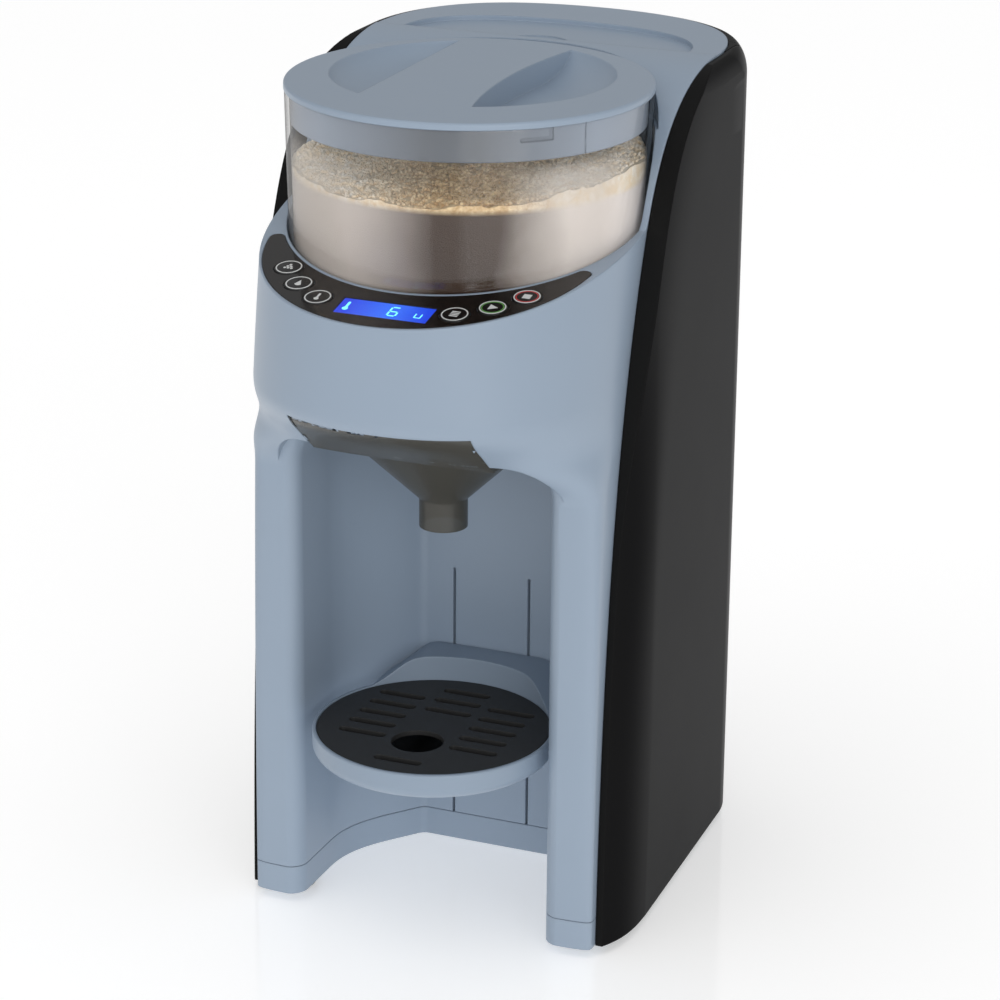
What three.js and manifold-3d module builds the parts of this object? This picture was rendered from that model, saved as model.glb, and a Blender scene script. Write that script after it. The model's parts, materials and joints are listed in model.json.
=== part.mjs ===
// Baby formula maker: powder container on top, bottle alcove in front, water tank behind.
// Millimetres. +X is the user's right seen from the front, -Y is the front, +Z is up.
// The origin is on the floor under the middle of the machine.
import * as THREE from 'three';
import { mergeVertices } from 'three/addons/utils/BufferGeometryUtils.js';
import Module from 'manifold-3d';

// Overall size
const TOTAL_HEIGHT = 370;
const BODY_WIDTH = 181;
const BODY_DEPTH = 266;
const HEAD_OVERHANG = 54;
const WALL = 3;
const FIT_GAP = 0.3;
const CUT_OVERRUN = 2;
const FRONT_Y = -BODY_DEPTH / 2;
const REAR_Y = BODY_DEPTH / 2;
const COLUMN_Y = FRONT_Y + HEAD_OVERHANG;

// Where the rear pieces meet, counted from the back: tank, shells, bulkhead, inner frame
const TANK_DEPTH = 43.7;
const TANK_Y = REAR_Y - TANK_DEPTH;
const SHELL_REAR_Y = TANK_Y - FIT_GAP;
const CHASSIS_PLATE = 2.8;
const CHASSIS_Y = SHELL_REAR_Y - CHASSIS_PLATE;
const HOUSING_REAR_Y = CHASSIS_Y - FIT_GAP;

// Feet and base band
const FOOT_RADIUS = 8;
const FOOT_HEIGHT = 4.1;
const FOOT_EDGE_INSET = 12.5;
const FRONT_FOOT_SETBACK = 21;
const REAR_FOOT_SETBACK = 34;
const REAR_FOOT_SIDE_INSET = 34.5;
const REAR_FOOT_X = BODY_WIDTH / 2 - REAR_FOOT_SIDE_INSET;
const BASE_BAND_HEIGHT = 13;
const BASE_BOTTOM_Z = FOOT_HEIGHT + FIT_GAP;
const BASE_TOP_Z = BASE_BOTTOM_Z + BASE_BAND_HEIGHT;
const HOUSING_BOTTOM_Z = BASE_TOP_Z + FIT_GAP;

// Blue front housing
const HOUSING_SIDE_INSET = 10.5;
const HOUSING_HALF_WIDTH = BODY_WIDTH / 2 - HOUSING_SIDE_INSET;
const CHIN_BOTTOM_BELOW_TOP = 164;
const CHIN_TOP_BELOW_TOP = 118;
const CHIN_BOTTOM_Z = TOTAL_HEIGHT - CHIN_BOTTOM_BELOW_TOP;
const CHIN_TOP_Z = TOTAL_HEIGHT - CHIN_TOP_BELOW_TOP;
const COLUMN_ROUNDING_POWER = 8;
const HEAD_ROUNDING_POWER = 2.14;
const COLUMN_BLEND_POWER = 4;
const FRONT_STEPS = 24;
const CHIN_STEPS = 5;

// Edge between the blue housing and the dark side shells, seen from the side
const EDGE_FOOT_SETBACK = 7;
const EDGE_LOWER_SETBACK = 9.5;
const EDGE_UPPER_SETBACK = 16;
const EDGE_SHOULDER_SETBACK = 52;
const EDGE_CROWN_SETBACK = 66.4;
const EDGE_TOP_SETBACK = 91;
const EDGE_DECK_SETBACK = 141;
const EDGE_LOWER_HEIGHT = 110;
const EDGE_UPPER_BELOW_TOP = 145;
const EDGE_SHOULDER_BELOW_TOP = 59;
const EDGE_CROWN_BELOW_TOP = 24.6;
const EDGE_STEPS = 7;

// Powder container, its lid and the bowl it stands in
const CONTAINER_SETBACK = 53.6;
const CONTAINER_Y = COLUMN_Y + CONTAINER_SETBACK;
const CONTAINER_SIDE_INSET = 2.6;
const CONTAINER_TAPER = 1.7;
const CONTAINER_TOP_RADIUS = HOUSING_HALF_WIDTH - CONTAINER_SIDE_INSET;
const CONTAINER_BOTTOM_RADIUS = CONTAINER_TOP_RADIUS - CONTAINER_TAPER;
const CONTAINER_WALL = 2;
const CONTAINER_FLOOR = 3;
const CONTAINER_SKIRT = 3.7;
const BOWL_DEPTH = 87;
const BOWL_CLEARANCE = 0.8;
const BOWL_FLOOR_Z = TOTAL_HEIGHT - BOWL_DEPTH;
const CONTAINER_BOTTOM_Z = BOWL_FLOOR_Z + FIT_GAP;
const CONTAINER_FLOOR_Z = CONTAINER_BOTTOM_Z + CONTAINER_SKIRT + CONTAINER_FLOOR;
const LID_DISC_THICKNESS = 3;
const LID_OVERHANG = 0.3;
const LID_DISC_RADIUS = CONTAINER_TOP_RADIUS + LID_OVERHANG;
const LID_ROOM_BEHIND = 2.5;
const LID_ROOM_HEIGHT = 20;
const DECK_BEHIND_LID = 6.5;
const DECK_REAR_Y = CONTAINER_Y + LID_DISC_RADIUS + DECK_BEHIND_LID;
const LID_SKIRT_HEIGHT = 13.8;
const LID_SKIRT_THICKNESS = 1.8;
const LID_SKIRT_CLEARANCE = 0.5;
const LID_DISH_RADIUS = 60.7;
const LID_DISH_SHIFT_X = -3;
const LID_DISH_SHIFT_Y = 11;
const LID_DISH_FLOOR_RADIUS = 36;
const LID_DISH_DEPTH = 11;
const LID_DISH_WALL = 2;
const LID_GRIP_HALF_WIDTH = 31.5;
const LID_GRIP_END_X = 25.5;
const LID_GRIP_WAIST_X = 13.4;
const LID_DISC_BOTTOM_Z = TOTAL_HEIGHT - LID_DISC_THICKNESS;
const CONTAINER_TOP_Z = LID_DISC_BOTTOM_Z - FIT_GAP;
const CONTAINER_HEIGHT = CONTAINER_TOP_Z - CONTAINER_BOTTOM_Z;
const GASKET_HEIGHT = 3;
const GASKET_DEPTH = 1;
const POWDER_TOP_BELOW_LID = 35.4;
const POWDER_TOP_Z = LID_DISC_BOTTOM_Z - POWDER_TOP_BELOW_LID;
const ROUND_STEPS = 44;

// Stirring and dosing wheels in the container
const OUTLET_OFFSET = 26.8;
const OUTLET_RADIUS = 11;
const DOSING_RADIUS = 40;
const DOSING_THICKNESS = 6;
const DOSING_POCKET_RADIUS = 8;
const DOSING_POCKETS = 6;
const WHEEL_HUB_RADIUS = 9;
const WHEEL_RUNNING_GAP = 0.4;
const STIRRER_ARM_THICKNESS = 4;
const STIRRER_ARM_WIDTH = 7;
const STIRRER_ARMS = 4;
const STIRRER_RADIUS = 67;
const STIRRER_BLADE_THICKNESS = 3;
const STIRRER_BLADE_HEIGHT = 24;
const STIRRER_HUB_HEIGHT = 18;
const HUB_NUT_HEIGHT = 7;
const HUB_NUT_RADIUS = 8;
const STIRRER_SWEEP_CLEARANCE = 2;
const DOG_ARM_LENGTH = 5.6;
const DOG_ARM_THICKNESS = 2.6;
const DOG_HEIGHT = 4.6;
const DOG_CLEARANCE = 0.4;

// Control panel on the tilted top of the head
const PANEL_SLOPE_SHARE = 0.2;
const PANEL_TILT = Math.atan(PANEL_SLOPE_SHARE);
const PANEL_PLANE_SETBACK = 22;
const PANEL_PLANE_BELOW_TOP = 71.2;
const PANEL_PLANE_Y = COLUMN_Y - PANEL_PLANE_SETBACK;
const PANEL_PLANE_Z = TOTAL_HEIGHT - PANEL_PLANE_BELOW_TOP;
const PANEL_RIM = 1.6;
const PANEL_FRONT_BORDER = 1.1;
const PANEL_OUTER_RADIUS = 72.6;
const PANEL_TIP_RADIUS = 3.2;
const PANEL_THICKNESS = 1.4;
const BUTTON_CIRCLE_INSET = 9.6;
const BUTTON_RADIUS = 6.2;
const BUTTON_SHIFT_X = 1;
const BUTTON_FIRST_ANGLE = 28.5;
const BUTTON_ANGLE_STEP = 14.2;
const BUTTON_CROWN = 0.4;
const BUTTON_CAP_DEPTH = 2.6;
const BUTTON_STEM_RADIUS = 2.5;
const BUTTON_STEM_DEPTH = 6;
const BUTTON_TRAVEL = 0.8;
const SWITCH_RADIUS = 3;
const SWITCH_HEIGHT = 3;
const DISPLAY_WIDTH = 40;
const DISPLAY_HEIGHT = 12.4;
const DISPLAY_X = 2;
const DISPLAY_FROM_PANEL_EDGE = 7.8;
const DISPLAY_RECESS = 0.2;
const BOARD_THICKNESS = 1.6;
const BOARD_MARGIN = 6;
const BOARD_DEPTH = BUTTON_STEM_DEPTH + BUTTON_TRAVEL + FIT_GAP + SWITCH_HEIGHT;

// Bottle alcove
const ALCOVE_COLUMN_WIDTH = 22.5;
const ALCOVE_HALF_WIDTH = HOUSING_HALF_WIDTH - ALCOVE_COLUMN_WIDTH;
const ALCOVE_DEPTH = 82.2;
const ALCOVE_BEND_SETBACK = 33;
const ALCOVE_SIDE_SETBACK = 55;
const ALCOVE_SLANT_SETBACK = 66.5;
const ALCOVE_SLANT_X = 44.5;
const ALCOVE_BACK_X = 34.5;
const ALCOVE_BACK_CORNER = 4;
const ALCOVE_CORNER_RADIUS = 20;
const ALCOVE_TOP_BELOW_TOP = 142;
const ALCOVE_TOP_Z = TOTAL_HEIGHT - ALCOVE_TOP_BELOW_TOP;
const ALCOVE_BACK_Y = COLUMN_Y + ALCOVE_DEPTH;
const MOUTH_ROUNDING = 8;
const MOUTH_CORNER_SHARE = 0.4;
const MOUTH_STEPS = 5;
const ALCOVE_STEPS = 6;
const TRACK_SLOT_X = 18;
const TRACK_SLOT_WIDTH = 4;
const TRACK_BOTTOM_Z = 22;
const TRACK_LENGTH = 116;

// Funnel under the head
const SPOUT_SETBACK = CONTAINER_SETBACK - OUTLET_OFFSET;
const FUNNEL_Y = COLUMN_Y + SPOUT_SETBACK;
const SPOUT_RADIUS = 10.5;
const SPOUT_LENGTH = 12.8;
const SPOUT_BOTTOM_BELOW_ROOF = 47.4;
const SPOUT_BOTTOM_Z = ALCOVE_TOP_Z - SPOUT_BOTTOM_BELOW_ROOF;
const FUNNEL_WALL = 1.6;
const FUNNEL_RADIUS = 42.4;
const FUNNEL_PLATE_THICKNESS = 2.4;
const FUNNEL_PLATE_HALF_WIDTH = 45.2;
const FUNNEL_ROOF_GAP = 1.6;
const FUNNEL_PLATE_REAR_MARGIN = 2;
const FLANGE_HALF_WIDTH = 40.6;
const FLANGE_HEIGHT = 18;
const FLANGE_SETBACK = 3.6;
const FLANGE_BACKING = 4.4;
const RAIL_LIP = 2.7;
const RAIL_WEB = 2.5;
const RAIL_FRONT_SETBACK = 8;

// Drip tray
const TRAY_TOP_Z = 90.9;
const TRAY_RADIUS = 52.9;
const TRAY_HEIGHT = 13.4;
const TRAY_OVERHANG = 16.5;
const TRAY_Y = COLUMN_Y + TRAY_OVERHANG;
const TRAY_RIM = 1.6;
const TRAY_LEDGE = 2.4;
const TRAY_WALL = 2.4;
const TRAY_BOTTOM_RADIUS = 42;
const COVER_THICKNESS = 2.5;
const COVER_CLEARANCE = 0.3;
const SLOT_LENGTH = 22;
const SLOT_WIDTH = 3;
const SLOT_ROW_PITCH = 10.9;
const SIDE_SLOT_ROWS = 5;
const SIDE_SLOT_X = 26;
const SIDE_SLOT_FRONT_OFFSET = 18;
const FRONT_SLOT_OFFSET = 39.2;
const REAR_SLOT_ROWS = 3;
const REAR_SLOT_OFFSET = 16;
const FINGER_HOLE_RADIUS = 11.4;
const FINGER_HOLE_OFFSET = 18;
const COLLAR_HEIGHT = 10.7;
const COLLAR_FLAT_HALF_WIDTH = 22;
const COLLAR_END_X = 43;
const COLLAR_WALL_CLEARANCE = 1;
const COLLAR_BOTTOM_DROP = 11;
const BRACKET_HALF_WIDTH = 25;
const BRACKET_THICKNESS = 3.4;
const BRACKET_RISE = 6;
const BRACKET_DROP = 28;
const HOOK_WIDTH = 3.2;
const HOOK_HEIGHT = 12;
const HOOK_HEAD_WIDTH = 8;
const HOOK_HEAD_DEPTH = 2.6;

// Dark side shells
const SHELL_EDGE_THICKNESS = 3;
const SHELL_ROUND_INSET = 36;
const SHELL_ROUND_DEPTH_SHARES = [0, 0, 0.38, 0.74, 1];
const SHELL_ROUND_INSET_SHARES = [0, 0, 0.14, 0.37, 1];
const SHELL_WIDENING_SHARE = 0.85;
const SHELL_WIDE_BELOW_TOP = 80;
const SHELL_NARROW_BELOW_TOP = 200;
const SHELL_CAVITY_DEPTH = 4;
const SHELL_CAVITY_MARGIN = 9;
const TAPER_START_SETBACK = 44;
const TAPER_START_Y = COLUMN_Y + TAPER_START_SETBACK;
const TAPER_END_FROM_REAR = 55;
const TAPER_END_Y = REAR_Y - TAPER_END_FROM_REAR;
const TAPER_IN = 4.9;
const REAR_BULGE_X = 83.2;
const REAR_BULGE_BEHIND_TAPER = 34;
const REAR_FLAT_X = 52;
const REAR_STEPS = 8;

// Rear chassis and base, water tank and its lid
const REAR_BASE_TOP_Z = 62.6;
const REAR_BASE_WALL = 3;
const REAR_CAVITY_HALF_WIDTH = 66;
const CHASSIS_WINDOW_HALF_WIDTH = 30;
const CHASSIS_WINDOW_HEIGHT = 34;
const TANK_WALL = 2.5;
const TANK_STEP = 0.8;
const TANK_COLLAR_BELOW_TOP = 55;
const TANK_TOP_BELOW_TOP = 14.8;
const TANK_BOTTOM_Z = REAR_BASE_TOP_Z + FIT_GAP;
const TANK_COLLAR_Z = TOTAL_HEIGHT - TANK_COLLAR_BELOW_TOP;
const TANK_TOP_Z = TOTAL_HEIGHT - TANK_TOP_BELOW_TOP;
const VALVE_SETBACK = 24;
const VALVE_Y = REAR_Y - VALVE_SETBACK;
const VALVE_RADIUS = 5.5;
const VALVE_FLANGE_RADIUS = 10;
const VALVE_FLANGE_THICKNESS = 2.8;
const VALVE_STUB_LENGTH = 9;
const SEAT_RADIUS = 9.5;
const SEAT_LENGTH = 20;
const LID_FRAME_WALL = 2.7;
const LID_FRAME_LIP = 2.6;
const LID_FRAME_TOP_BELOW_TOP = 1.1;
const LID_ROUND_ANGLE_SHARES = [0, 0.3, 0.55, 0.78, 1];
const LID_FRAME_PLATE = 3;
const LID_PANEL_THICKNESS = 6;
const LID_PANEL_DISH_DEPTH = 2.4;
const DECK_CURVE_BEHIND_FRONT = 1.2;
const DECK_START_Y = DECK_REAR_Y + DECK_CURVE_BEHIND_FRONT;
const DECK_CURVE_PULL = 0.8;
const CORNER_LENGTH = 18.8;
const CORNER_WIDTH = 4;
const DECK_END_INSET = 2.6;
const DECK_BULGE_SHARE = 0.54;
const DECK_FLAT_SHARE = 0.75;
const DISH_HALF_WIDTH = 60.5;
const DISH_REAR_INSET = 29;
const DISH_FRONT_MARGIN = 10;
const LID_PANEL_TOP_DROP = 0.4;
const FINGER_SCOOP_X = 4;
const FINGER_SCOOP_RADIUS = 15;
const FINGER_SCOOP_DEPTH = 3.6;
const TANK_GASKET_HEIGHT = 3;
const INLET_X = -24;
const INLET_HALF_WIDTH = 12;
const INLET_BOTTOM_Z = 22;
const INLET_HEIGHT = 16;
const INLET_DEPTH = 18;
const INLET_WALL = 2;
const INLET_PIN_RADIUS = 1.2;
const INLET_PIN_SPACING = 8.6;
const INLET_RECESS = 2;

// Water and drive parts behind and above the alcove
const BAY_FLOOR_Z = BASE_BOTTOM_Z + WALL;
const PUMP_X = 42;
const PUMP_SETBACK = 128;
const PUMP_RADIUS = 17;
const PUMP_HEIGHT = 44;
const PUMP_HEAD_RADIUS = 13;
const PUMP_HEAD_HEIGHT = 16;
const HEATER_X = -42;
const HEATER_SETBACK = 126;
const HEATER_RADIUS = 22;
const HEATER_HEIGHT = 120;
const HEATER_CAP_RADIUS = 24;
const HEATER_CAP_HEIGHT = 8;
const PORT_RADIUS = 3.4;
const PORT_HEIGHT = 9;
const HOSE_RADIUS = 3;
const HOSE_SIDES = 6;
const HOSE_STEPS = 14;
const MOTOR_RADIUS = 12.5;
const MOTOR_HEIGHT = 30;
const MOTOR_SHAFT_RADIUS = 2.5;
const MOTOR_SHAFT_LENGTH = 5;
const COUPLING_RADIUS = 7.2;
const COUPLING_CLEARANCE = 0.8;
const CHUTE_WALL = 1.5;
const NOZZLE_X = 24;
const NOZZLE_RADIUS = 5;
const NOZZLE_HEIGHT = 14;
const NOZZLE_TIP_RADIUS = 2.4;
const NOZZLE_TIP_LENGTH = 3.9;
const MAIN_BOARD_LENGTH = 56;
const MAIN_BOARD_HEIGHT = 90;
const MAIN_BOARD_SETBACK = 98;
const MAIN_BOARD_BOTTOM_Z = 96;
const TRANSFORMER_LENGTH = 34;
const TRANSFORMER_HEIGHT = 28;
const TRANSFORMER_DEPTH = 22;

// Colours of the materials
const BLUE = 0x94a1b1;
const DARK = 0x232425;
const CHARCOAL = 0x262728;
const GLOSS_BLACK = 0x0b0b0d;
const SMOKE = 0x3c3e3f;
const CLEAR = 0xe8eef0;
const WHITE = 0xe9e7e1;
const POWDER = 0xcdc4b4;
const RUBBER = 0x1b1b1c;
const STEEL = 0xb4b7ba;
const BOARD_GREEN = 0x1d5a38;
const SCREEN_BLUE = 0x163fef;
const SILICONE = 0xbfc3c4;

const wasm = await Module();
wasm.setup();

const AXIS_X = new THREE.Vector3(1, 0, 0);
const AXIS_Y = new THREE.Vector3(0, 1, 0);
const AXIS_Z = new THREE.Vector3(0, 0, 1);

// Solids from three.js geometry
function solidFromGeometry(geometry) {
  const bare = geometry.clone();
  bare.deleteAttribute('normal');
  bare.deleteAttribute('uv');
  const merged = mergeVertices(bare);
  const positions = merged.getAttribute('position');
  const triangles = [];
  let volume = 0;
  const corners = [new THREE.Vector3(), new THREE.Vector3(), new THREE.Vector3()];
  for (let i = 0; i < merged.index.count; i += 3) {
    const ids = [0, 1, 2].map((k) => merged.index.getX(i + k));
    if (new Set(ids).size === 3) {
      triangles.push(...ids);
      ids.forEach((id, k) => corners[k].fromBufferAttribute(positions, id));
      volume += corners[0].dot(corners[1].clone().cross(corners[2]));
    }
  }
  if (volume < 0) {
    triangles.reverse();
  }
  const mesh = new wasm.Mesh({
    numProp: 3,
    vertProperties: new Float32Array(positions.array),
    triVerts: new Uint32Array(triangles),
  });
  mesh.merge();
  return new wasm.Manifold(mesh);
}

function geometryFromSolid(solid) {
  const mesh = solid.getMesh();
  const geometry = new THREE.BufferGeometry();
  geometry.setAttribute('position', new THREE.BufferAttribute(mesh.vertProperties, mesh.numProp));
  geometry.setIndex(new THREE.BufferAttribute(mesh.triVerts, 1));
  geometry.computeVertexNormals();
  return geometry;
}

function join(first, ...others) {
  return others.reduce((sum, solid) => sum.add(solid), first);
}

function cut(first, ...tools) {
  return tools.reduce((rest, tool) => rest.subtract(tool), first);
}

function common(first, ...others) {
  return others.reduce((shared, solid) => shared.intersect(solid), first);
}

function block(x0, x1, y0, y1, z0, z1) {
  const geometry = new THREE.BoxGeometry(x1 - x0, y1 - y0, z1 - z0);
  geometry.translate((x0 + x1) / 2, (y0 + y1) / 2, (z0 + z1) / 2);
  return solidFromGeometry(geometry);
}

function rod(radius, x, y, z0, z1, steps = 24) {
  const geometry = new THREE.CylinderGeometry(radius, radius, z1 - z0, steps);
  geometry.rotateX(Math.PI / 2);
  geometry.translate(x, y, (z0 + z1) / 2);
  return solidFromGeometry(geometry);
}

// A profile of radius and height pairs turned about a vertical axis
function revolve(profile, x, y, steps = ROUND_STEPS) {
  const points = profile.map(([radius, z]) => new THREE.Vector2(radius, z));
  const onAxis = points[0].x === 0 && points[points.length - 1].x === 0;
  if (!onAxis) {
    points.push(points[0].clone());
  }
  const geometry = new THREE.LatheGeometry(points, steps);
  geometry.rotateX(Math.PI / 2);
  geometry.translate(x, y, 0);
  return solidFromGeometry(geometry);
}

// Flat outlines pushed along one axis: plan (x, y), side view (y, z), front view (x, z)
function prismZ(shape, z0, z1, curveSegments = 12) {
  const geometry = new THREE.ExtrudeGeometry(shape, { depth: z1 - z0, bevelEnabled: false, curveSegments });
  geometry.translate(0, 0, z0);
  return solidFromGeometry(geometry);
}

function prismX(shape, x0, x1, curveSegments = 12) {
  const geometry = new THREE.ExtrudeGeometry(shape, { depth: x1 - x0, bevelEnabled: false, curveSegments });
  geometry.applyMatrix4(new THREE.Matrix4().makeBasis(AXIS_Y, AXIS_Z, AXIS_X));
  geometry.translate(x0, 0, 0);
  return solidFromGeometry(geometry);
}

function prismY(shape, y0, y1, curveSegments = 12) {
  const geometry = new THREE.ExtrudeGeometry(shape, { depth: y1 - y0, bevelEnabled: false, curveSegments });
  geometry.applyMatrix4(new THREE.Matrix4().makeBasis(AXIS_X, AXIS_Z, AXIS_Y.clone().negate()));
  geometry.translate(0, y1, 0);
  return solidFromGeometry(geometry);
}

function outline(points) {
  return new THREE.Shape(points.map(([a, b]) => new THREE.Vector2(a, b)));
}

// A skin over a row of rings that have equally many points, closed by a flat cap at each end
function loft(rings, flatten) {
  const count = rings[0].length;
  const positions = rings.flat().flatMap((point) => [point.x, point.y, point.z]);
  const index = [];
  for (let ring = 0; ring + 1 < rings.length; ring += 1) {
    for (let i = 0; i < count; i += 1) {
      const a = ring * count + i;
      const b = ring * count + ((i + 1) % count);
      index.push(a, b, b + count, a, b + count, a + count);
    }
  }
  for (const ring of [0, rings.length - 1]) {
    const flat = rings[ring].map(flatten);
    const turned = THREE.ShapeUtils.isClockWise(flat) === (ring === 0);
    for (const [a, b, c] of THREE.ShapeUtils.triangulateShape(flat, [])) {
      const corners = turned ? [a, b, c] : [c, b, a];
      index.push(...corners.map((corner) => ring * count + corner));
    }
  }
  const geometry = new THREE.BufferGeometry();
  geometry.setAttribute('position', new THREE.Float32BufferAttribute(positions, 3));
  geometry.setIndex(index);
  return solidFromGeometry(geometry);
}

function tube(points, radius) {
  const circle = new THREE.Shape();
  circle.absarc(0, 0, radius, 0, 2 * Math.PI);
  const path = new THREE.CatmullRomCurve3(points.map((point) => new THREE.Vector3(...point)));
  const geometry = new THREE.ExtrudeGeometry(circle, {
    steps: HOSE_STEPS,
    curveSegments: HOSE_SIDES,
    extrudePath: path,
  });
  return solidFromGeometry(geometry);
}

function smoothStep(value, low, high) {
  const t = Math.min(1, Math.max(0, (value - low) / (high - low)));
  return t * t * (3 - 2 * t);
}

// Side edge of the blue housing, from the foot of the column up and back to the deck
function shellEdgePoints() {
  const lower = new THREE.CubicBezierCurve(
    new THREE.Vector2(COLUMN_Y + EDGE_FOOT_SETBACK, BASE_BOTTOM_Z),
    new THREE.Vector2(COLUMN_Y + EDGE_LOWER_SETBACK, EDGE_LOWER_HEIGHT),
    new THREE.Vector2(COLUMN_Y + EDGE_UPPER_SETBACK, TOTAL_HEIGHT - EDGE_UPPER_BELOW_TOP),
    new THREE.Vector2(COLUMN_Y + EDGE_SHOULDER_SETBACK, TOTAL_HEIGHT - EDGE_SHOULDER_BELOW_TOP),
  );
  const upper = new THREE.CubicBezierCurve(
    new THREE.Vector2(COLUMN_Y + EDGE_SHOULDER_SETBACK, TOTAL_HEIGHT - EDGE_SHOULDER_BELOW_TOP),
    new THREE.Vector2(COLUMN_Y + EDGE_CROWN_SETBACK, TOTAL_HEIGHT - EDGE_CROWN_BELOW_TOP),
    new THREE.Vector2(COLUMN_Y + EDGE_TOP_SETBACK, TOTAL_HEIGHT),
    new THREE.Vector2(COLUMN_Y + EDGE_DECK_SETBACK, TOTAL_HEIGHT),
  );
  return [...lower.getPoints(EDGE_STEPS), ...upper.getPoints(EDGE_STEPS).slice(1)];
}

const SHELL_EDGE = shellEdgePoints();

function edgeYAt(z) {
  const above = SHELL_EDGE.findIndex((point) => point.y >= z);
  if (above <= 0) {
    return above === 0 ? SHELL_EDGE[0].x : SHELL_EDGE[SHELL_EDGE.length - 1].x;
  }
  const from = SHELL_EDGE[above - 1];
  const to = SHELL_EDGE[above];
  return from.x + ((to.x - from.x) * (z - from.y)) / (to.y - from.y);
}

function deckPlaneZ(y) {
  return PANEL_PLANE_Z + Math.tan(PANEL_TILT) * (y - PANEL_PLANE_Y);
}

// Plan outline of the housing at one height, from columns below to the round head above
function housingRing(z, inset) {
  const blend = smoothStep(z, CHIN_BOTTOM_Z, CHIN_TOP_Z);
  const halfWidth = HOUSING_HALF_WIDTH - inset;
  const cornerY = edgeYAt(z) + inset;
  const frontY = COLUMN_Y - HEAD_OVERHANG * blend + inset;
  const power = HEAD_ROUNDING_POWER + (COLUMN_ROUNDING_POWER - HEAD_ROUNDING_POWER) * (1 - blend) ** COLUMN_BLEND_POWER;
  const ring = [];
  for (let i = 0; i <= FRONT_STEPS; i += 1) {
    const side = Math.sin(Math.PI * (i / FRONT_STEPS - 1 / 2));
    const reach = (1 - Math.abs(side) ** power) ** (1 / power);
    ring.push(new THREE.Vector3(halfWidth * side, cornerY - (cornerY - frontY) * reach, z));
  }
  ring.push(new THREE.Vector3(halfWidth, HOUSING_REAR_Y, z));
  ring.push(new THREE.Vector3(-halfWidth, HOUSING_REAR_Y, z));
  return ring;
}

function housingLoft(z0, z1, inset) {
  const heights = [z0, (z0 + CHIN_BOTTOM_Z) / 2];
  for (let i = 0; i <= CHIN_STEPS; i += 1) {
    heights.push(CHIN_BOTTOM_Z + ((CHIN_TOP_Z - CHIN_BOTTOM_Z) * i) / CHIN_STEPS);
  }
  const above = SHELL_EDGE.map((point) => point.y).filter((z) => z > CHIN_TOP_Z + WALL && z < z1 - WALL);
  const rings = [...heights, ...above, z1].map((z) => housingRing(z, inset));
  return loft(rings, (point) => new THREE.Vector2(point.x, point.y));
}

// Everything above the tilted head top and the rising shoulders, lowered by a depth
function aboveDeck(depth) {
  const start = FRONT_Y - CUT_OVERRUN;
  const top = TOTAL_HEIGHT + CUT_OVERRUN;
  const shoulders = SHELL_EDGE.filter((point) => point.y > deckPlaneZ(point.x) + WALL);
  const points = [[start, deckPlaneZ(start) - depth]];
  const bend = shoulders[0];
  points.push([bend.x - WALL, deckPlaneZ(bend.x - WALL) - depth]);
  shoulders.forEach((point) => points.push([point.x + depth, point.y - depth]));
  points.push([REAR_Y, TOTAL_HEIGHT - depth], [REAR_Y, top], [start, top]);
  const width = HOUSING_HALF_WIDTH + CUT_OVERRUN;
  return prismX(outline(points), -width, width);
}

// Round bowl that the container stands in, a little wider at the top
function bowl(offset) {
  const floor = BOWL_FLOOR_Z - offset;
  const top = TOTAL_HEIGHT + CUT_OVERRUN;
  return revolve([
    [0, floor],
    [CONTAINER_BOTTOM_RADIUS + BOWL_CLEARANCE + offset, floor],
    [CONTAINER_TOP_RADIUS + BOWL_CLEARANCE + offset, top],
    [0, top],
  ], 0, CONTAINER_Y);
}

// Extra room behind the lid, so that it lifts out of the bowl without rubbing
function lidRoom(offset) {
  const radius = CONTAINER_TOP_RADIUS + BOWL_CLEARANCE + offset;
  return rod(radius, 0, CONTAINER_Y + LID_ROOM_BEHIND, TOTAL_HEIGHT - LID_ROOM_HEIGHT - offset,
    TOTAL_HEIGHT + CUT_OVERRUN, ROUND_STEPS);
}

// Plan shape of the alcove: straight sides that slant inwards to a flat back
function alcovePlan(offset) {
  const half = ALCOVE_HALF_WIDTH + offset;
  const back = ALCOVE_BACK_Y + offset;
  const slantX = ALCOVE_SLANT_X + offset;
  const slantY = COLUMN_Y + ALCOVE_SLANT_SETBACK + offset / 2;
  const backX = ALCOVE_BACK_X + offset / 2;
  const corner = ALCOVE_BACK_CORNER;
  const shape = new THREE.Shape();
  shape.moveTo(-half, FRONT_Y - CUT_OVERRUN);
  shape.lineTo(half, FRONT_Y - CUT_OVERRUN);
  shape.lineTo(half, COLUMN_Y + ALCOVE_BEND_SETBACK);
  shape.bezierCurveTo(half, COLUMN_Y + ALCOVE_SIDE_SETBACK, slantX, slantY, backX, back - corner / 2);
  shape.quadraticCurveTo(backX - corner / 2, back, backX - corner, back);
  shape.lineTo(corner - backX, back);
  shape.quadraticCurveTo(corner / 2 - backX, back, -backX, back - corner / 2);
  shape.bezierCurveTo(-slantX, slantY, -half, COLUMN_Y + ALCOVE_SIDE_SETBACK, -half, COLUMN_Y + ALCOVE_BEND_SETBACK);
  shape.closePath();
  return shape;
}

// Front view of the alcove mouth, flared by an amount at its sides
function archRing(y, flare) {
  const half = ALCOVE_HALF_WIDTH + flare;
  const radius = ALCOVE_CORNER_RADIUS + MOUTH_CORNER_SHARE * flare;
  const bottom = BASE_BOTTOM_Z - CUT_OVERRUN;
  const shape = new THREE.Shape();
  shape.moveTo(-half, bottom);
  shape.lineTo(half, bottom);
  shape.absarc(half - radius, ALCOVE_TOP_Z - radius, radius, 0, Math.PI / 2, false);
  shape.absarc(radius - half, ALCOVE_TOP_Z - radius, radius, Math.PI / 2, Math.PI, false);
  return shape.extractPoints(MOUTH_STEPS).shape.map((point) => new THREE.Vector3(point.x, y, point.y));
}

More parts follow.
